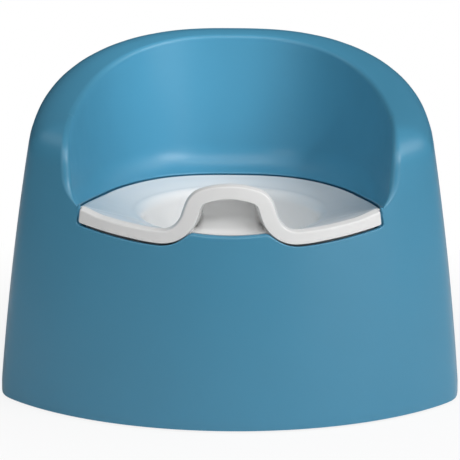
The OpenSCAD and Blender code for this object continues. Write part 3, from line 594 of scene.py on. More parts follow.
def rim_path():
    """Edge of the front rim and of the slot's upright end: angle, height, rounding, share of the end."""
    end_x = CORNER_X - LIP_END_GAP + END_GAP
    low = rim_z(np.array([end_x]))[0]
    turn = np.linspace(0.0, math.pi / 2, TURN_SAMPLES)[1:]
    x = np.linspace(0.0, end_x - END_CORNER, RIM_SAMPLES)
    x = np.concatenate([x, end_x - END_CORNER * (1 - np.sin(turn))])
    z = rim_z(x)
    z[-len(turn):] = np.maximum(z[-len(turn):], low + END_CORNER * (1 - np.cos(turn)))
    up = np.linspace(z[-1], CORNER_Z + FOOT_LIFT, UP_SAMPLES)[1:]
    x = np.concatenate([x, np.full_like(up, end_x)])
    z = np.concatenate([z, up])
    th = lip_th(x)
    places = [GRIP_X - STEP_FADE, GRIP_X, DIP_X, DIP_X + STEP_FADE, end_x - STEP_FADE, end_x - END_FADE]
    step = np.interp(x, places, [WIDE_STEP, RIM_STEP, RIM_STEP, WIDE_STEP, WIDE_STEP, END_STEP])
    x, th, z = respaced(wall(th, z), step, x, th, z)
    rounding = mix(GRIP_ROUND, RIM_ROUND, ease((x - GRIP_X + GRIP_LEAD) / GRIP_FADE))
    upright = np.clip((z - low) / (z[-1] - low), 0.0, 1.0) * (x > end_x - END_CORNER)
    return th, z, rounding, upright


def arm_path(start_th):
    """Edge between the outside and the cavity, from the seat's front corner to the middle of the back."""
    near = np.linspace(start_th, start_th + NEAR_SPAN, ARM_SAMPLES)
    far = np.linspace(start_th + NEAR_SPAN, math.pi, ARM_SAMPLES)
    th = np.concatenate([near[1:], far[1:]])

    def outside_cavity(s):
        r, z = outer_rz(th, s)
        return r > cavity_r(th, z)

    s = bisect(outside_cavity, seat_edge(th) - EDGE_BELOW, np.full_like(th, SECTION_END))
    step = mix(ARM_STEP, BACK_STEP, ease((th - start_th) / BACK_STEP_TH))
    return respaced(outer(th, s), step, th, s)


def edge_ends(th, s, rim_round):
    """Upper edge, its normal, and the ends of its rounding: outside as angle and length, and inside."""
    front = len(rim_round)
    edge = outer(th, s)
    tangent = unit(np.gradient(edge, axis=0))
    tangent[0] = (1.0, 0.0, 0.0)
    tangent[-1] = (-1.0, 0.0, 0.0)
    normal, th_out, s_out = surface_frame(outer, th, s, tangent)
    arm_th, arm_z = th[front:], edge[front:, 2]
    cav_normal, th_in, z_in = surface_frame(cavity, arm_th, arm_z, tangent[front:])
    gaps = np.linalg.norm(np.diff(edge[front:], axis=0), axis=1)
    along = np.concatenate([[0.0], np.cumsum(gaps)])
    wedge = np.arccos(np.clip((normal[front:] * cav_normal).sum(-1), -1.0, 1.0))
    full = np.minimum(EDGE_ROUND / np.tan(wedge / 2), EDGE_REACH)
    arm_reach = mix(RIM_ROUND, full, ease(along / REACH_FADE))
    reach = np.concatenate([rim_round, arm_reach])
    inner = edge - normal * reach[:, None]
    inner[front:] = cavity(arm_th + th_in * arm_reach, arm_z + z_in * arm_reach)
    return edge, normal, th + th_out * reach, s + s_out * reach, inner


def outside_rows(foot_th, top_th, top_s):
    """Rows of the outside from its foot to the rounding of the upper edge."""
    rows = []
    for v in np.linspace(0.0, 1.0, WALL_ROWS):
        th = mix(foot_th, top_th, v)
        s = mix(FOOT_GAP, top_s, 1 - (1 - v) ** WALL_CROWD)
        r, z = outer_rz(th, s)
        rows.append(to_xyz(th, r - quarter(FOOT_ROUND, s - FOOT_GAP), z))
    return rows


def rim_back(th, z):
    """Back of the front rim, a skin's thickness behind the outside."""
    return to_xyz(th, wall_r(th, z) - SKIN, z)


def face_rows(c):
    """Rows of the inner face: the cavity's wall, or a flange and the rim's back at the front."""
    high = c.inner[:, 2]
    slope = np.sqrt(1 - (fil_h(c.th) / FOOT_RAD) ** 2)
    brow = np.minimum(c.foot + FOOT_EDGE * slope, high - HAIR)
    rows = []
    for k in range(1, FACE_ROWS + 1):
        z = mix(high, brow, math.sin(k / FACE_ROWS * math.pi / 2))
        row = to_xyz(c.th, np.maximum(cavity_r(c.th, z), c.seat_r), z)
        if k <= FLANGE_ROWS:
            row[:c.front] = mix(c.inner[:c.front], c.flange_end, k / FLANGE_ROWS)
        else:
            t = (k - FLANGE_ROWS) / (FACE_ROWS - FLANGE_ROWS)
            row[:c.front] = rim_back(c.rim_th, mix(c.rim_s, c.rim_low, t))
        rows.append(row)
    return rows


def foot_rows(c, last):
    """Rows of the rounded foot of the cavity's wall, standing off the bowl, and the recess behind it."""
    low = c.foot - FOOT_EDGE
    rows = arc_rows(last, to_xyz(c.th, c.seat_r, c.foot), to_xyz(c.th, c.seat_r, low), FOOT_SHARES)
    rows.append(to_xyz(c.th, c.seat_r + c.recess, low - RECESS_FALL))
    for k, row in enumerate(rows, 1):
        row[:c.front] = rim_back(c.rim_th, c.rim_low - k / (len(rows) + 1))
    return rows


def ledge_rows(c):
    """Rows round the ledge that carries the bowl, its underside, and the radius where the hollow starts."""
    behind = np.arange(len(c.th)) >= c.front
    base_r = np.concatenate([wall_r(c.rim_th, c.rim_low) - SKIN, side_r(c.th[c.front:])])
    end_r = base_r - np.where(behind, SHELF_D, RIB_D)
    top = np.concatenate([c.rim_low - RIB_FALL, c.seat[c.front:] - DECK_T - SEAT_GAP])
    under = top - SHELF_T
    back_r = np.minimum(base_r + SKIN + fil_in(fil_h(c.th)), wall_r(c.th, under) - SKIN)
    back_r = np.where(behind, back_r, wall_r(c.th, under) - SKIN)
    rows = [to_xyz(c.th, base_r + c.recess, top), to_xyz(c.th, end_r, top)]
    rows += [to_xyz(c.th, end_r, under), to_xyz(c.th, back_r, under)]
    return rows, under, back_r


def hollow_rows(c, under, back_r):
    """Rows up behind the cavity's wall, and down inside the outer wall."""
    def hollow_r(z):
        return cavity_r(c.th, np.maximum(z, c.seat + fil_h(c.th))) + SKIN

    def is_free(s):
        r, z = outer_in(c.th, s, SKIN)
        return r > hollow_r(z) + HOLLOW_GAP

    end_s = bisect(is_free, under - HOLLOW_START, np.maximum(c.s, under))
    end_s[:c.front] = under[:c.front] - HOLLOW_START
    end_r, end_z = outer_in(c.th, end_s, SKIN)
    is_open = end_z > under + HOLLOW_LEAST
    rows = []
    for t in np.linspace(0.0, 1.0, HOLLOW_ROWS + 1)[1:]:
        z = mix(under, end_z, t)
        r = np.where(is_open, np.maximum(back_r, hollow_r(z)), mix(back_r, end_r, HOLLOW_TAPER * t))
        rows.append(to_xyz(c.th, np.where(is_open & (t == 1.0), end_r, r), z))
    for t in np.linspace(0.0, 1.0, DOWN_ROWS + 1)[1:-1]:
        s = np.maximum(mix(end_s, FOOT_GAP, t ** DOWN_CROWD), FOOT_GAP + DOWN_END)
        rows.append(to_xyz(c.th, *outer_in(c.th, s, SKIN)))
    return rows


def inner_columns(rim_th, rim_s, s, edge, normal, inner):
    """What the rows inside the shell share, with one value for each column."""
    front = len(rim_th)
    c = SimpleNamespace(front=front, rim_th=rim_th, rim_s=rim_s, s=s, inner=inner)
    c.th = np.concatenate([rim_th, to_polar(inner[front:])[0]])
    c.seat = seat_edge(c.th)
    c.seat_r = side_r(c.th)
    c.foot = np.minimum(c.seat + FOOT_LIFT, inner[:, 2] - 2 * HAIR)
    c.flange_end = (edge - normal * SKIN)[:front]
    c.rim_low = rim_z(np.minimum(lip_x(rim_th), CORNER_X)) - RIM_BACK
    c.recess = np.clip(wall_r(c.th, c.seat) - SKIN - c.seat_r, 0.0, RECESS)
    c.recess[:front] = 0.0
    return c


def shell_columns():
    """Columns of one half of the shell, from the front to the back; each goes once round its section."""
    rim_th, rim_s, rim_round, upright = rim_path()
    arm_th, arm_s = arm_path(rim_th[-1])
    front = len(rim_th)
    th = np.concatenate([rim_th, arm_th])
    s = np.concatenate([rim_s, arm_s])
    edge, normal, top_th, top_s, inner = edge_ends(th, s, rim_round)
    fan = np.concatenate([upright, 1 - ease((arm_th - arm_th[0]) / FAN_FADE)])
    foot_th = top_th + FAN * fan
    top_th[0] = foot_th[0] = 0.0
    top_th[-1] = foot_th[-1] = math.pi
    rows = outside_rows(foot_th, top_th, top_s)
    rows += arc_rows(rows[-1], edge, inner, np.linspace(0.0, 1.0, EDGE_ROWS)[1:])
    past_flange = len(rows) + FLANGE_ROWS
    c = inner_columns(rim_th, rim_s, s, edge, normal, inner)
    rows += face_rows(c)
    rows += foot_rows(c, rows[-1])
    ledge, under, back_r = ledge_rows(c)
    rows += ledge + hollow_rows(c, under, back_r)

    # Rows past the slot's flange run from the rim's own to the arm's own along the upright end
    for row in rows[past_flange:]:
        row[:front] = mix(row[:front], row[front], upright[:, None])
    rows.append(to_xyz(foot_th, wall_r(foot_th, FOOT_GAP) - SKIN, np.full_like(foot_th, FOOT_GAP)))
    columns = np.stack(rows, 1)
    columns[0, :, 0] = 0.0
    columns[-1, :, 0] = 0.0
    return columns


# Screw bosses

def boss_post(th, r):
    """Points and faces of a post with a blind bore, turned round an upright axis."""
    top = PLATE_TOP + BOSS_H
    profile = [(BORE_R, PLATE_TOP + BORE_H), (BORE_R, PLATE_TOP), (BOSS_R, PLATE_TOP)]
    profile += [(BOSS_R, top - BOSS_EDGE), (BOSS_R - BOSS_EDGE, top)]
    n = BOSS_SIDES
    turn = np.linspace(0.0, 2 * math.pi, n, endpoint=False)
    axis = to_xyz(th, r, 0.0)
    verts = [axis + (q * math.cos(a), q * math.sin(a), z) for q, z in profile for a in turn]
    faces = [tuple(range(n)), tuple(range(len(verts) - n, len(verts)))]
    for k in range(0, len(verts) - n, n):
        faces += [(k + i, k + (i + 1) % n, k + n + (i + 1) % n, k + n + i) for i in range(n)]
    return verts, faces


def boss_web(th, r):
    """Points and faces of the upright web from a post to the wall."""
    side = np.array([math.cos(th), math.sin(th), 0.0]) * WEB_T / 2
    ends = [r + BOSS_R - WEB_SINK, r + WEB_REACH]
    verts = []
    for z in (PLATE_TOP, PLATE_TOP + WEB_H):
        near, far = (to_xyz(th, q, z) for q in ends)
        verts += [near - side, far - side, far + side, near + side]
    faces = [(0, 1, 2, 3), (4, 5, 6, 7)]
    faces += [(i, (i + 1) % 4, 4 + (i + 1) % 4, 4 + i) for i in range(4)]
    return verts, faces


def boss_object(name):
    """Six posts with their webs as one object."""
    verts, faces = [], []
    for th in np.concatenate([BOSS_TH, -BOSS_TH]):
        r = plan_r(th) - SKIN - BOSS_IN
        for points, sides in (boss_post(th, r), boss_web(th, r)):
            faces += [tuple(k + len(verts) for k in side) for side in sides]
            verts += points
    mesh = bpy.data.meshes.new(name)
    mesh.from_pydata((np.array(verts) * MM).tolist(), [], faces)
    return finish_mesh(name, mesh)


# Seat bowl

WELL_ROWS = 10
BASE_ROWS = 9
RIM_ROWS = 12
DECK_ROWS = 12
SCOOP_ROWS = 14
UNDER_ROWS = 8
LIP_ARC_ROWS = 5
TOP_ARC_ROWS = 8
LOW_ARC_ROWS = 6
FLOOR_SHARES = (0.1, 0.3, 0.5)
UNDER_SHARES = (0.3, 0.1)

# Samples of the lip's middle line before its columns are spaced, and the distances between columns
LIP_SAMPLES = 4000
LIP_STEP = 1.3
LIP_END_STEP = 0.3
DIP_FROM = 4.0
DIP_TO = 14.0
LIP_END_FROM = 6.0
LIP_END_TO = 2.5

# Columns at the sides, closer together behind the lip's end
LIP_SEAM = math.radians(0.12)
SIDE_NEAR = 0.3
NEAR_COLUMNS = 16
NEAR_CROWD = 1.5
SIDE_COLUMNS = 84

# Smoothing of the deck's edge height round the seat axis
LEVEL_SAMPLES = 2001
LEVEL_REACH = 60
LEVEL_SIGMAS = 3.0


def band_profile():
    """Section of the lip as offsets from its top edge or bottom edge and depths, from the deck outward."""
    bead = [(1.0, BEAD_DEPTH + 1.0), (0.5, BEAD_DEPTH + 0.75), (0.12, BEAD_DEPTH + 0.4)]
    facet = [(0.0, BEAD_DEPTH), (0.08, 4.5), (0.5, 3.6), (0.95, 2.6), (1.4, 1.55)]
    corner = [(1.62, 1.05), (1.8, 0.7), (2.05, 0.36), (2.4, 0.1), (2.8, 0.0)]
    face = [(t, 0.0) for t in (0.12, 0.3, 0.5, 0.7, 0.88)]
    return bead, facet, corner, face


def lip_path():
    """Stations along the middle line of the lip: angle, distance from the middle plane and from its end."""
    end_x = CORNER_X - LIP_END_GAP
    x = np.linspace(0.0, end_x, LIP_SAMPLES)
    th = lip_th(x)
    places = [DIP_X + DIP_FROM, DIP_X + DIP_TO, end_x - LIP_END_FROM, end_x - LIP_END_TO]
    step = np.interp(x, places, [LIP_STEP, WIDE_STEP, WIDE_STEP, LIP_END_STEP])
    return respaced(wall(th, lip_z(x, 0.0)), step, th, x, end_x - x)


def well_r(th, f):
    """Radius of the well's oval, scaled by f, as seen from the seat axis."""
    p, q, o = WELL_W / 2 * f, WELL_L / 2 * f, WELL_Y - SEAT_Y
    s, c = np.sin(th), -np.cos(th)
    a = (s / p) ** 2 + (c / q) ** 2
    b = -2 * c * o / (q * q)
    d = (o / q) ** 2 - 1
    return (-b + np.sqrt(b * b - 4 * a * d)) / (2 * a)


def well_wall(u, low_r, low_z, high_r, high_z):
    """Radius and height at the share u of the well's wall."""
    return mix(low_r, high_r, 1 - (1 - u) ** WELL_BEND), mix(low_z, high_z, u)


def wall_start(base_r):
    """Radius and height at which the well's wall leaves the rounding of its floor."""
    return base_r - (1 - FILLET_TURN) * BASE_FILLET_R, FLOOR_Z + FLOOR_RISE + BASE_FILLET_H


def deck_level(th):
    """Height that the deck heads for, with the fold at the lip's end smoothed out."""
    spot = np.linspace(-math.pi, math.pi, LEVEL_SAMPLES)
    turn = np.abs(spot)
    x = np.minimum(lip_x(np.minimum(turn, CORNER_TH)), CORNER_X)
    front = lip_z(np.maximum(x, DIP_X), LIP_HALF)
    edge = np.where(turn < CORNER_TH, front, seat_edge(turn))
    bell = np.linspace(-LEVEL_SIGMAS, LEVEL_SIGMAS, 2 * LEVEL_REACH + 1)
    weight = np.exp(-0.5 * bell ** 2)
    smooth = np.convolve(np.pad(edge, LEVEL_REACH, mode="edge"), weight / weight.sum(), mode="valid")
    return np.interp(th, spot, smooth) - DECK_EASE


def upper_rows(th, r_edge, z_edge, arch):
    """Rows of the bowl's upper side from its floor to its edge; arch is each column's share of the arch."""
    rw = well_r(th, 1.0)
    rb = well_r(th, WELL_TAPER)
    zf = FLOOR_Z + FLOOR_RISE
    low_r, low_z = wall_start(rb)
    rim_r = mix(rw, np.maximum(rw, r_edge + BEAD_DEPTH - GUARD_D), arch)
    deck_r = mix(rw + WELL_ROUND, r_edge - GUARD_EDGE, arch)
    deck_z = mix(WELL_Z, z_edge, arch)
    rim_low = deck_z - WELL_DROP
    level = deck_level(th)
    rows = [(rb * t, zf - FLOOR_RISE * (1 - t)) for t in FLOOR_SHARES]
    rows.append((rb - BASE_FILLET_R, zf))
    for t in np.linspace(0.0, math.pi / 2, BASE_ROWS)[1:]:
        r = rb + BASE_FILLET_R * (FILLET_TURN * math.sin(t) - 1)
        rows.append((r, zf + BASE_FILLET_H * (1 - math.cos(t))))
    for u in np.linspace(0.0, 1.0, WELL_ROWS)[1:-1]:
        rows.append(well_wall(u, low_r, low_z, rim_r, rim_low))
    for t in np.linspace(0.0, math.pi / 2, RIM_ROWS):
        rows.append((mix(rim_r, deck_r, 1 - math.cos(t)), mix(rim_low, deck_z, math.sin(t))))
    for t in np.linspace(0.0, 1.0, DECK_ROWS + 1)[1:]:
        dish = DECK_DISH * math.sin(math.pi * t)
        flat = mix(deck_z, level, t) + (z_edge - level) * t ** DECK_TURN - dish
        rows.append((mix(deck_r, r_edge, t), mix(flat, mix(deck_z, z_edge, t), arch)))
    return [to_xyz(th, r, z + np.zeros_like(th)) for r, z in rows]


def lip_under(th, r_low, z_low):
    """Start of the underside at the front: the finger scoop, and the flange inside the rim."""
    x = lip_x(th)
    rim = rim_z(x)
    grip = ease((DIP_X - FLANGE_FROM - x) / (DIP_X - FLANGE_FROM - FLANGE_TO - GRIP_X))
    flange_r = wall_r(th, rim) - SKIN - FLANGE_GAP - FLANGE_IN * (1 - grip)
    flange_z = rim + FLANGE_LIFT
    depth = mix(SCOOP_LEAST, SCOOP_D, ease((z_low - rim - LIP_GAP - LIP_TRIM) / SCOOP_TURN))
    deep_r = np.minimum(r_low - depth, flange_r - SCOOP_LEAST)
    rows = []
    for t in np.linspace(0.0, math.pi / 2, SCOOP_ROWS):
        rows.append((mix(flange_r, deep_r, math.cos(t)), mix(z_low, flange_z, math.sin(t))))
    drop = flange_z - FLANGE_DROP
    rows += [(flange_r, drop), (flange_r - FLANGE_T, drop)]
    edge_z = lip_z(x, LIP_HALF)
    return SimpleNamespace(rows=rows, grip=grip, arch=arch_w(x), flange_r=flange_r, flange_z=flange_z,
                           z=flange_z - START_FALL, edge_r=wall_r(th, edge_z), edge_z=edge_z)


def side_under(th, r_low, z_low):
    """Start of the underside at the sides and back: level, under the deck's edge."""
    none = np.zeros_like(th)
    flange_r = r_low - FLAT_IN
    rows = [(r_low - FLAT_IN * t - FLAT_EDGE, z_low) for t in np.linspace(0.0, 1.0, SCOOP_ROWS)]
    rows += [(flange_r, z_low), (flange_r - FLANGE_T, z_low)]
    return SimpleNamespace(rows=rows, grip=none, arch=none, flange_r=flange_r, flange_z=z_low + FLANGE_LIFT,
                           z=z_low + START_RISE, edge_r=side_r(th) - SIDE_GAP, edge_z=seat_edge(th))


def well_outside(rb, rim_r, rim_low, top_z):
    """Rows down the outside of the well and across under its floor."""
    low_r, low_z = wall_start(rb)
    under = FLOOR_Z - BOWL_T
    rows = []
    for k, u in enumerate(np.linspace(1.0, 0.0, WELL_ROWS)[2:-1], 1):
        r, z = well_wall(u, low_r, low_z, rim_r, rim_low)
        rows.append((r + BOWL_T, np.minimum(z - OUT_SINK, top_z - OUT_STEP * k)))
    for t in np.linspace(math.pi / 2, 0.0, BASE_ROWS)[:-1]:
        r = rb - BASE_FILLET_R + (FILLET_TURN * BASE_FILLET_R + BOWL_T) * math.sin(t)
        rows.append((r, FLOOR_Z + BASE_FILLET_H * (1 - math.cos(t)) - BOWL_T * math.cos(t)))
    rows.append((rb - BASE_FILLET_R, under))
    return rows + [(rb * t, under) for t in UNDER_SHARES]


def lower_rows(th, start):
    """Rows under the bowl, from the given start at its lower edge back to the floor."""
    rw = well_r(th, 1.0)
    rb = well_r(th, WELL_TAPER)
    grip, arch = start.grip, start.arch
    bead_r = start.edge_r - BEAD_DEPTH
    deck_r = mix(rw + WELL_ROUND, bead_r - UNDER_EDGE, arch)
    deck_z = mix(WELL_Z, start.edge_z, arch)
    rim_r = mix(rw, np.maximum(rw, start.edge_r - GUARD_D), arch)
    rim_low = deck_z - WELL_DROP
    end_z = mix(WELL_Z - BOWL_T, start.flange_z - GRIP_FALL, grip)
    out_z = mix(WELL_Z - OUT_FALL, end_z - GRIP_OUT_FALL, grip)
    low_r, low_z = wall_start(rb)
    u = np.minimum(1.0, (out_z - low_z) / (rim_low - low_z))
    out_r = well_wall(u, low_r, low_z, rim_r, rim_low)[0] + BOWL_T + OUT_GAP
    end_r = mix(rw + WELL_ROUND + UNDER_OUT, out_r + GRIP_OUT, grip)
    rows = list(start.rows)
    for t in np.linspace(0.0, 1.0, UNDER_ROWS):
        r = mix(start.flange_r - UNDER_IN, end_r, t)
        share = np.clip((r - deck_r) / np.maximum(TINY, bead_r - deck_r), 0.0, 1.0)
        dish = DECK_DISH * np.sin(math.pi * share) * (1 - arch)
        under = mix(deck_z, start.edge_z - BEAD_RISE, share) - dish - BOWL_T - UNDER_GAP
        z = np.maximum(start.z, under) if t == 0 else under
        rows.append((r, mix(z, mix(start.z, end_z, t), grip)))
    rows.append((out_r, out_z))
    rows += well_outside(rb, rim_r, rim_low, out_z)
    return [to_xyz(th, r, z + np.zeros_like(th)) for r, z in rows]


def lip_sizes(x, z, left):
    """Heights of the lip off its middle line: up to the bead, up to the face, down to the edge."""
    up = np.clip((z - LIP_DIP_Z) / (LIP_TOP_Z - LIP_DIP_Z), 0.0, 1.0) * (x < DIP_X)
    swell = LIP_HALF + LEG_SWELL * 4 * up * (1 - up)
    top = swell + END_RISE * (1 - ease(left / LIP_END_TURN))
    half = top - quarter(LIP_END_TOP, left)
    dip_trim = DIP_TRIM * ease((x - DIP_X + DIP_TRIM_LEAD) / DIP_TRIM_LEN)
    trim = LIP_TRIM + dip_trim + END_TRIM * ease((x - DIP_X) / END_TRIM_LEN)
    low_half = swell - trim - LIP_EDGE - quarter(LIP_END_CORNER, left)
    return top, half, low_half


def lip_rows(th, x, left):
    """Rows across the lip, square to its middle line, from the deck outward and down."""
    z = lip_z(x, 0.0)
    tangent = unit(np.gradient(wall(th, z), axis=0))
    tangent[0] = (1.0, 0.0, 0.0)
    normal, th_down, z_down = surface_frame(wall, th, z, tangent)
    square = ease(left / LIP_END_TURN)
    th_down = th_down * square
    z_down = mix(-1.0, z_down, square)
    sunk = quarter(LIP_END_ROUND, left)

    def band(offset, depth):
        return wall(th - th_down * offset, z - z_down * offset) - normal * (depth + sunk)[:, None]

    bead, facet, corner, face = band_profile()
    top, half, low_half = lip_sizes(x, z, left)
    bead_rise = BEAD_RISE * ease(left / BEAD_LEN) * mix(1.0, BEAD_ON_ARCH, arch_w(x))
    high, low = half - corner[-1][0], -low_half
    rows = [band(top - bead_rise * share, depth) for share, depth in bead]
    rows += [band(half - fall, depth) for fall, depth in facet + corner]
    rows += [band(mix(high, low, t), depth) for t, depth in face]
    for t in np.linspace(0.0, math.pi / 2, LIP_ARC_ROWS):
        rows.append(band(low - LIP_EDGE * math.sin(t), LIP_EDGE * (1 - math.cos(t))))
    rows.append(band(low - LIP_EDGE, LIP_UNDER))
    return rows


def lip_columns():
    """Columns of the bowl at the front, the count of rows across the lip, and the angle of the last one."""
    rows = lip_rows(*lip_path())
    in_th, in_r, in_z = to_polar(rows[0])
    low_th, low_r, low_z = to_polar(rows[-1])
    in_th[0] = low_th[0] = 0.0
    upper = upper_rows(in_th, in_r, in_z, arch_w(lip_x(in_th)))
    lower = lower_rows(low_th, lip_under(low_th, low_r, low_z))
    return np.stack(upper[:-1] + rows + lower, 1), len(rows), in_th[-1]


def side_columns(count, start_th):
    """Columns of the bowl at the sides and back, up to the gap round the seat."""
    near_th = start_th + LIP_SEAM + np.linspace(0.0, 1.0, NEAR_COLUMNS) ** NEAR_CROWD * SIDE_NEAR
    th = np.concatenate([near_th, np.linspace(start_th + SIDE_NEAR, math.pi, SIDE_COLUMNS)[2:]])
    edge = seat_edge(th)
    low = edge - DECK_T
    r_edge = side_r(th) - SIDE_GAP
    rows = []
    for t in np.linspace(0.0, math.pi / 2, TOP_ARC_ROWS):
        rows.append((r_edge - DECK_EDGE * (1 - math.sin(t)), edge - DECK_EDGE * (1 - math.cos(t))))
    for t in np.linspace(0.0, 1.0, count - TOP_ARC_ROWS - LOW_ARC_ROWS + 1)[1:]:
        rows.append((r_edge, mix(edge - DECK_EDGE, low + LIP_EDGE, t)))
    for t in np.linspace(0.0, math.pi / 2, LOW_ARC_ROWS):
        rows.append((r_edge - LIP_EDGE * (1 - math.cos(t)), low + LIP_EDGE * (1 - math.sin(t))))
    rows = [to_xyz(th, r, z) for r, z in rows]
    upper = upper_rows(th, r_edge - DECK_EDGE, edge, np.zeros_like(th))
    lower = lower_rows(th, side_under(th, r_edge - LIP_EDGE, low))
    return np.stack(upper[:-1] + rows + lower, 1)


def bowl_columns():
    """Columns of one half of the bowl, from the front to the back."""
    front, count, last_th = lip_columns()
    side = side_columns(count, last_th)
    columns = np.concatenate([front, side])
    columns[0, :, 0] = 0.0
    columns[-1, :, 0] = 0.0
    return columns


# Materials

NOISE_LOW = 0.3
NOISE_HIGH = 0.7
TINT_CELLS = 14.0
GLOSS_CELLS = 60.0
GLOSS_SWING = 0.015
GRAIN_DEPTH = 0.00004


def material(name, roughness, metallic=0.0):
    """Empty material with its node tree and shader."""
    mat = bpy.data.materials.new(name)
    mat.use_nodes = True
    shader = mat.node_tree.nodes["Principled BSDF"]
    shader.inputs["Metallic"].default_value = metallic
    shader.inputs["Roughness"].default_value = roughness
    return mat, mat.node_tree, shader


def noise(tree, scale, detail=3.0, stretch=(1.0, 1.0, 1.0)):
    """Noise over the object's own metres; scale is the count of cells per metre."""
    place = tree.nodes.new("ShaderNodeTexCoord")
    turn = tree.nodes.new("ShaderNodeMapping")
    turn.inputs["Scale"].default_value = stretch
    node = tree.nodes.new("ShaderNodeTexNoise")
    node.inputs["Scale"].default_value = scale
    node.inputs["Detail"].default_value = detail
    tree.links.new(place.outputs["Object"], turn.inputs["Vector"])
    tree.links.new(turn.outputs["Vector"], node.inputs["Vector"])
    return node.outputs["Fac"]


def ranged(tree, value, low, high):
    """Noise spread over a range of values."""
    node = tree.nodes.new("ShaderNodeMapRange")
    node.inputs["From Min"].default_value = NOISE_LOW
    node.inputs["From Max"].default_value = NOISE_HIGH
    node.inputs["To Min"].default_value = low
    node.inputs["To Max"].default_value = high
    tree.links.new(value, node.inputs["Value"])
    return node.outputs["Result"]


def tinted(tree, value, colour, change):
    """Colour that swings by a share around the given one, following a value."""
    node = tree.nodes.new("ShaderNodeValToRGB")
    node.color_ramp.elements[0].position = NOISE_LOW
    node.color_ramp.elements[1].position = NOISE_HIGH
    for element, sign in zip(node.color_ramp.elements, (-1, 1)):
        element.color = (*(min(1.0, c * (1 + sign * change)) for c in colour), 1.0)
    tree.links.new(value, node.inputs["Fac"])
    return node.outputs["Color"]


def bumped(tree, shader, value, distance, strength):
    """Small relief that follows a value."""
    node = tree.nodes.new("ShaderNodeBump")
    node.inputs["Strength"].default_value = strength
    node.inputs["Distance"].default_value = distance
    tree.links.new(value, node.inputs["Height"])
    tree.links.new(node.outputs["Normal"], shader.inputs["Normal"])


def moulded(name, colour, roughness, grain, change=0.03, metallic=0.0, stretch=(1, 1, 1), relief=0.35):
    """Moulded or drawn surface: slow tint, patchy gloss, and a grain of that many cells per metre."""
    mat, tree, shader = material(name, roughness, metallic)
    slow = noise(tree, TINT_CELLS, 2.0)
    fine = noise(tree, grain, 2.0, stretch)
    tree.links.new(tinted(tree, slow, colour, change), shader.inputs["Base Color"])
    gloss = ranged(tree, noise(tree, GLOSS_CELLS), roughness - GLOSS_SWING, roughness + GLOSS_SWING)
    tree.links.new(gloss, shader.inputs["Roughness"])
    bumped(tree, shader, fine, GRAIN_DEPTH, relief)
    return mat


ALONG_Y = (1, 8, 1)
ALONG_Z = (1, 1, 8)

FINISHES = {
    "shell_blue": dict(colour=(0.070, 0.286, 0.445), roughness=0.32, grain=1700.0, change=0.02, relief=0.05),
    "bowl_white": dict(colour=(0.84, 0.84, 0.835), roughness=0.22, grain=2200.0, change=0.008, relief=0.02),
    "base_grey": dict(colour=(0.66, 0.68, 0.70), roughness=0.55, grain=1500.0),
    "foot_rubber": dict(colour=(0.05, 0.055, 0.06), roughness=0.8, grain=2500.0, change=0.15),
    "screw_steel": dict(colour=(0.56, 0.57, 0.58), roughness=0.32, grain=4000.0, change=0.06, metallic=1.0),
    "board_green": dict(colour=(0.03, 0.15, 0.07), roughness=0.4, grain=1200.0, change=0.2),
    "dark_plastic": dict(colour=(0.03, 0.03, 0.035), roughness=0.5, grain=2200.0, change=0.1),
    "capacitor_metal": dict(colour=(0.6, 0.61, 0.63), roughness=0.3, grain=3000.0, change=0.05,
                            metallic=1.0, stretch=ALONG_Z),
    "copper": dict(colour=(0.72, 0.4, 0.24), roughness=0.35, grain=2500.0, change=0.1, metallic=1.0),
    "contact_brass": dict(colour=(0.7, 0.55, 0.25), roughness=0.3, grain=3000.0, change=0.06,
                          metallic=1.0, stretch=ALONG_Z),
    "contact_steel": dict(colour=(0.6, 0.62, 0.64), roughness=0.3, grain=3000.0, change=0.05,
                          metallic=1.0, stretch=ALONG_Y),
    "magnet_iron": dict(colour=(0.1, 0.1, 0.11), roughness=0.6, grain=2600.0, change=0.15, metallic=0.6),
    "cone_paper": dict(colour=(0.03, 0.03, 0.033), roughness=0.85, grain=1800.0, change=0.25),
    "button_red": dict(colour=(0.62, 0.07, 0.06), roughness=0.35, grain=1500.0, change=0.04),
    "knob_white": dict(colour=(0.78, 0.8, 0.82), roughness=0.4, grain=1500.0, change=0.02),
    "cell_sleeve": dict(colour=(0.06, 0.22, 0.11), roughness=0.3, grain=900.0, change=0.05),
}
finishes = {slot: moulded(slot, **finish) for slot, finish in FINISHES.items()}

for part in frame["record"]["subparts"]:
    node = frame["nodes"][part["node"]]
    node.data.materials.clear()
    node.data.materials.append(finishes[part["material_slot"]])

shell = ring_object("shell_skin", shell_columns(), True)
shell.data.materials.append(finishes["shell_blue"])
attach(shell, "shell")
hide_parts("outer_shell")

bosses = boss_object("screw_bosses")
bosses.data.materials.append(finishes["shell_blue"])
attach(bosses, "shell")

bowl_half = bowl_columns()
last_row = bowl_half.shape[1] - 1
bowl_caps = [(0, (0.0, SEAT_Y, FLOOR_Z)), (last_row, (0.0, SEAT_Y, FLOOR_Z - BOWL_T))]
bowl = ring_object("bowl_skin", bowl_half, False, bowl_caps)
bowl.data.materials.append(finishes["bowl_white"])
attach(bowl, "bowl")
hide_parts("seat_bowl")


# Floor, light and camera

FLOOR_HALF = 7.0
FLOOR_WHITE = (0.9, 0.9, 0.9, 1.0)
SHADOW_NEAR = 0.18
SHADOW_FAR = 0.5
GLOW_NEAR = 0.86
WORLD_LIGHT = 0.03
AIM = (0.0, -0.02, 0.14)


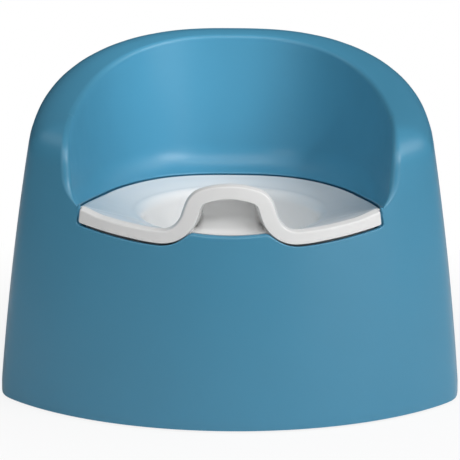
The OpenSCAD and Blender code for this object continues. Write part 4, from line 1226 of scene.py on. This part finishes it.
def floor_material():
    """White that shows a soft shadow near the object and is plain white for the camera away from it."""
    mat = bpy.data.materials.new("floor_white")
    mat.use_nodes = True
    tree = mat.node_tree
    tree.nodes.clear()
    output = tree.nodes.new("ShaderNodeOutputMaterial")
    lit = tree.nodes.new("ShaderNodeBsdfDiffuse")
    lit.inputs["Color"].default_value = FLOOR_WHITE
    glow = tree.nodes.new("ShaderNodeEmission")
    place = tree.nodes.new("ShaderNodeTexCoord")
    reach = tree.nodes.new("ShaderNodeVectorMath")
    reach.operation = "LENGTH"
    fade = tree.nodes.new("ShaderNodeMapRange")
    fade.inputs["From Min"].default_value = SHADOW_NEAR
    fade.inputs["From Max"].default_value = SHADOW_FAR
    fade.inputs["To Min"].default_value = GLOW_NEAR
    fade.inputs["To Max"].default_value = 1.0
    path = tree.nodes.new("ShaderNodeLightPath")
    seen = tree.nodes.new("ShaderNodeMath")
    seen.operation = "MAXIMUM"
    share = tree.nodes.new("ShaderNodeMath")
    share.operation = "MULTIPLY"
    blend = tree.nodes.new("ShaderNodeMixShader")
    tree.links.new(place.outputs["Object"], reach.inputs[0])
    tree.links.new(reach.outputs["Value"], fade.inputs["Value"])
    tree.links.new(path.outputs["Is Camera Ray"], seen.inputs[0])
    tree.links.new(path.outputs["Is Transmission Ray"], seen.inputs[1])
    tree.links.new(seen.outputs[0], share.inputs[0])
    tree.links.new(fade.outputs["Result"], share.inputs[1])
    tree.links.new(share.outputs[0], blend.inputs["Fac"])
    tree.links.new(lit.outputs[0], blend.inputs[1])
    tree.links.new(glow.outputs[0], blend.inputs[2])
    tree.links.new(blend.outputs[0], output.inputs["Surface"])
    return mat


def make_floor():
    """Level floor, which belongs to the stage."""
    a, b = -FLOOR_HALF, FLOOR_HALF
    mesh = bpy.data.meshes.new("floor")
    mesh.from_pydata([(a, a, 0), (b, a, 0), (b, b, 0), (a, b, 0)], [], [(0, 1, 2, 3)])
    mesh.materials.append(floor_material())
    floor = bpy.data.objects.new("floor", mesh)
    bpy.context.scene.collection.objects.link(floor)


def make_world():
    """Weak even light all round, behind a background that the camera sees as white."""
    world = bpy.data.worlds.new("studio")
    bpy.context.scene.world = world
    world.use_nodes = True
    tree = world.node_tree
    back = tree.nodes["Background"]
    back.inputs["Color"].default_value = (1, 1, 1, 1)
    back.inputs["Strength"].default_value = WORLD_LIGHT
    white = tree.nodes.new("ShaderNodeBackground")
    blend = tree.nodes.new("ShaderNodeMixShader")
    path = tree.nodes.new("ShaderNodeLightPath")
    tree.links.new(path.outputs["Is Camera Ray"], blend.inputs["Fac"])
    tree.links.new(back.outputs[0], blend.inputs[1])
    tree.links.new(white.outputs[0], blend.inputs[2])
    tree.links.new(blend.outputs[0], tree.nodes["World Output"].inputs["Surface"])


def place_lamp(name, data, at, aim):
    """Object for a lamp, turned to look at a point."""
    lamp = bpy.data.objects.new(name, data)
    lamp.location = at
    lamp.rotation_euler = (Vector(aim) - Vector(at)).to_track_quat("-Z", "Y").to_euler()
    bpy.context.scene.collection.objects.link(lamp)
    return lamp


def softbox(name, at, width, height, power):
    """Lamp with a bright rectangle, turned to the middle of the object."""
    data = bpy.data.lights.new(name, "AREA")
    data.shape = "RECTANGLE"
    data.size = width
    data.size_y = height
    data.energy = power
    place_lamp(name, data, at, AIM)


def spotlight(name, at, aim, angle, radius, power):
    """Narrow soft-edged lamp that leaves no reflection of its own."""
    data = bpy.data.lights.new(name, "SPOT")
    data.spot_size = math.radians(angle)
    data.spot_blend = 1.0
    data.shadow_soft_size = radius
    data.energy = power
    lamp = place_lamp(name, data, at, aim)
    lamp.visible_glossy = False


def make_camera():
    """Camera with the view fitted to the photograph."""
    data = bpy.data.cameras.new("camera")
    data.sensor_width = SENSOR_MM
    data.lens = FOCAL_PX * SENSOR_MM / FRAME_PX
    data.shift_x = -SHIFT_PX / FRAME_PX
    camera = bpy.data.objects.new("camera", data)
    turn = Matrix.Rotation(CAMERA_TURN, 4, "Z")
    place = Matrix.Translation((0.0, -CAMERA_REACH, CAMERA_HEIGHT))
    pitch = Matrix.Rotation(math.pi / 2 - CAMERA_PITCH, 4, "X")
    roll = Matrix.Rotation(CAMERA_ROLL, 4, "Z")
    camera.matrix_world = turn @ place @ pitch @ roll
    bpy.context.scene.collection.objects.link(camera)
    bpy.context.scene.camera = camera


make_floor()
make_world()
softbox("key_light", (1.65, -1.03, 1.75), width=1.3, height=0.8, power=19.5)
softbox("rim_light", (1.7, 0.2, 1.7), width=1.0, height=1.0, power=6.5)
softbox("side_light", (1.7, -1.4, 0.85), width=1.8, height=1.6, power=8.0)
softbox("strip_light", (0.3, -1.5, 1.85), width=2.4, height=0.4, power=9.0)
softbox("high_light", (0.2, -0.9, 2.2), width=2.4, height=0.5, power=10.5)
softbox("left_light", (-1.3, -1.5, 1.2), width=1.0, height=1.0, power=4.0)
softbox("left_high_light", (-1.0, -0.6, 2.0), width=1.0, height=1.0, power=2.5)
softbox("left_back_light", (-1.4, 0.6, 1.9), width=1.0, height=1.0, power=2.0)
spotlight("seat_light", (0.74, -1.66, 0.74), (-0.04, 0.1, 0.212), angle=7.4, radius=0.05, power=84.0)
make_camera()
bpy.context.scene.view_settings.view_transform = "Standard"
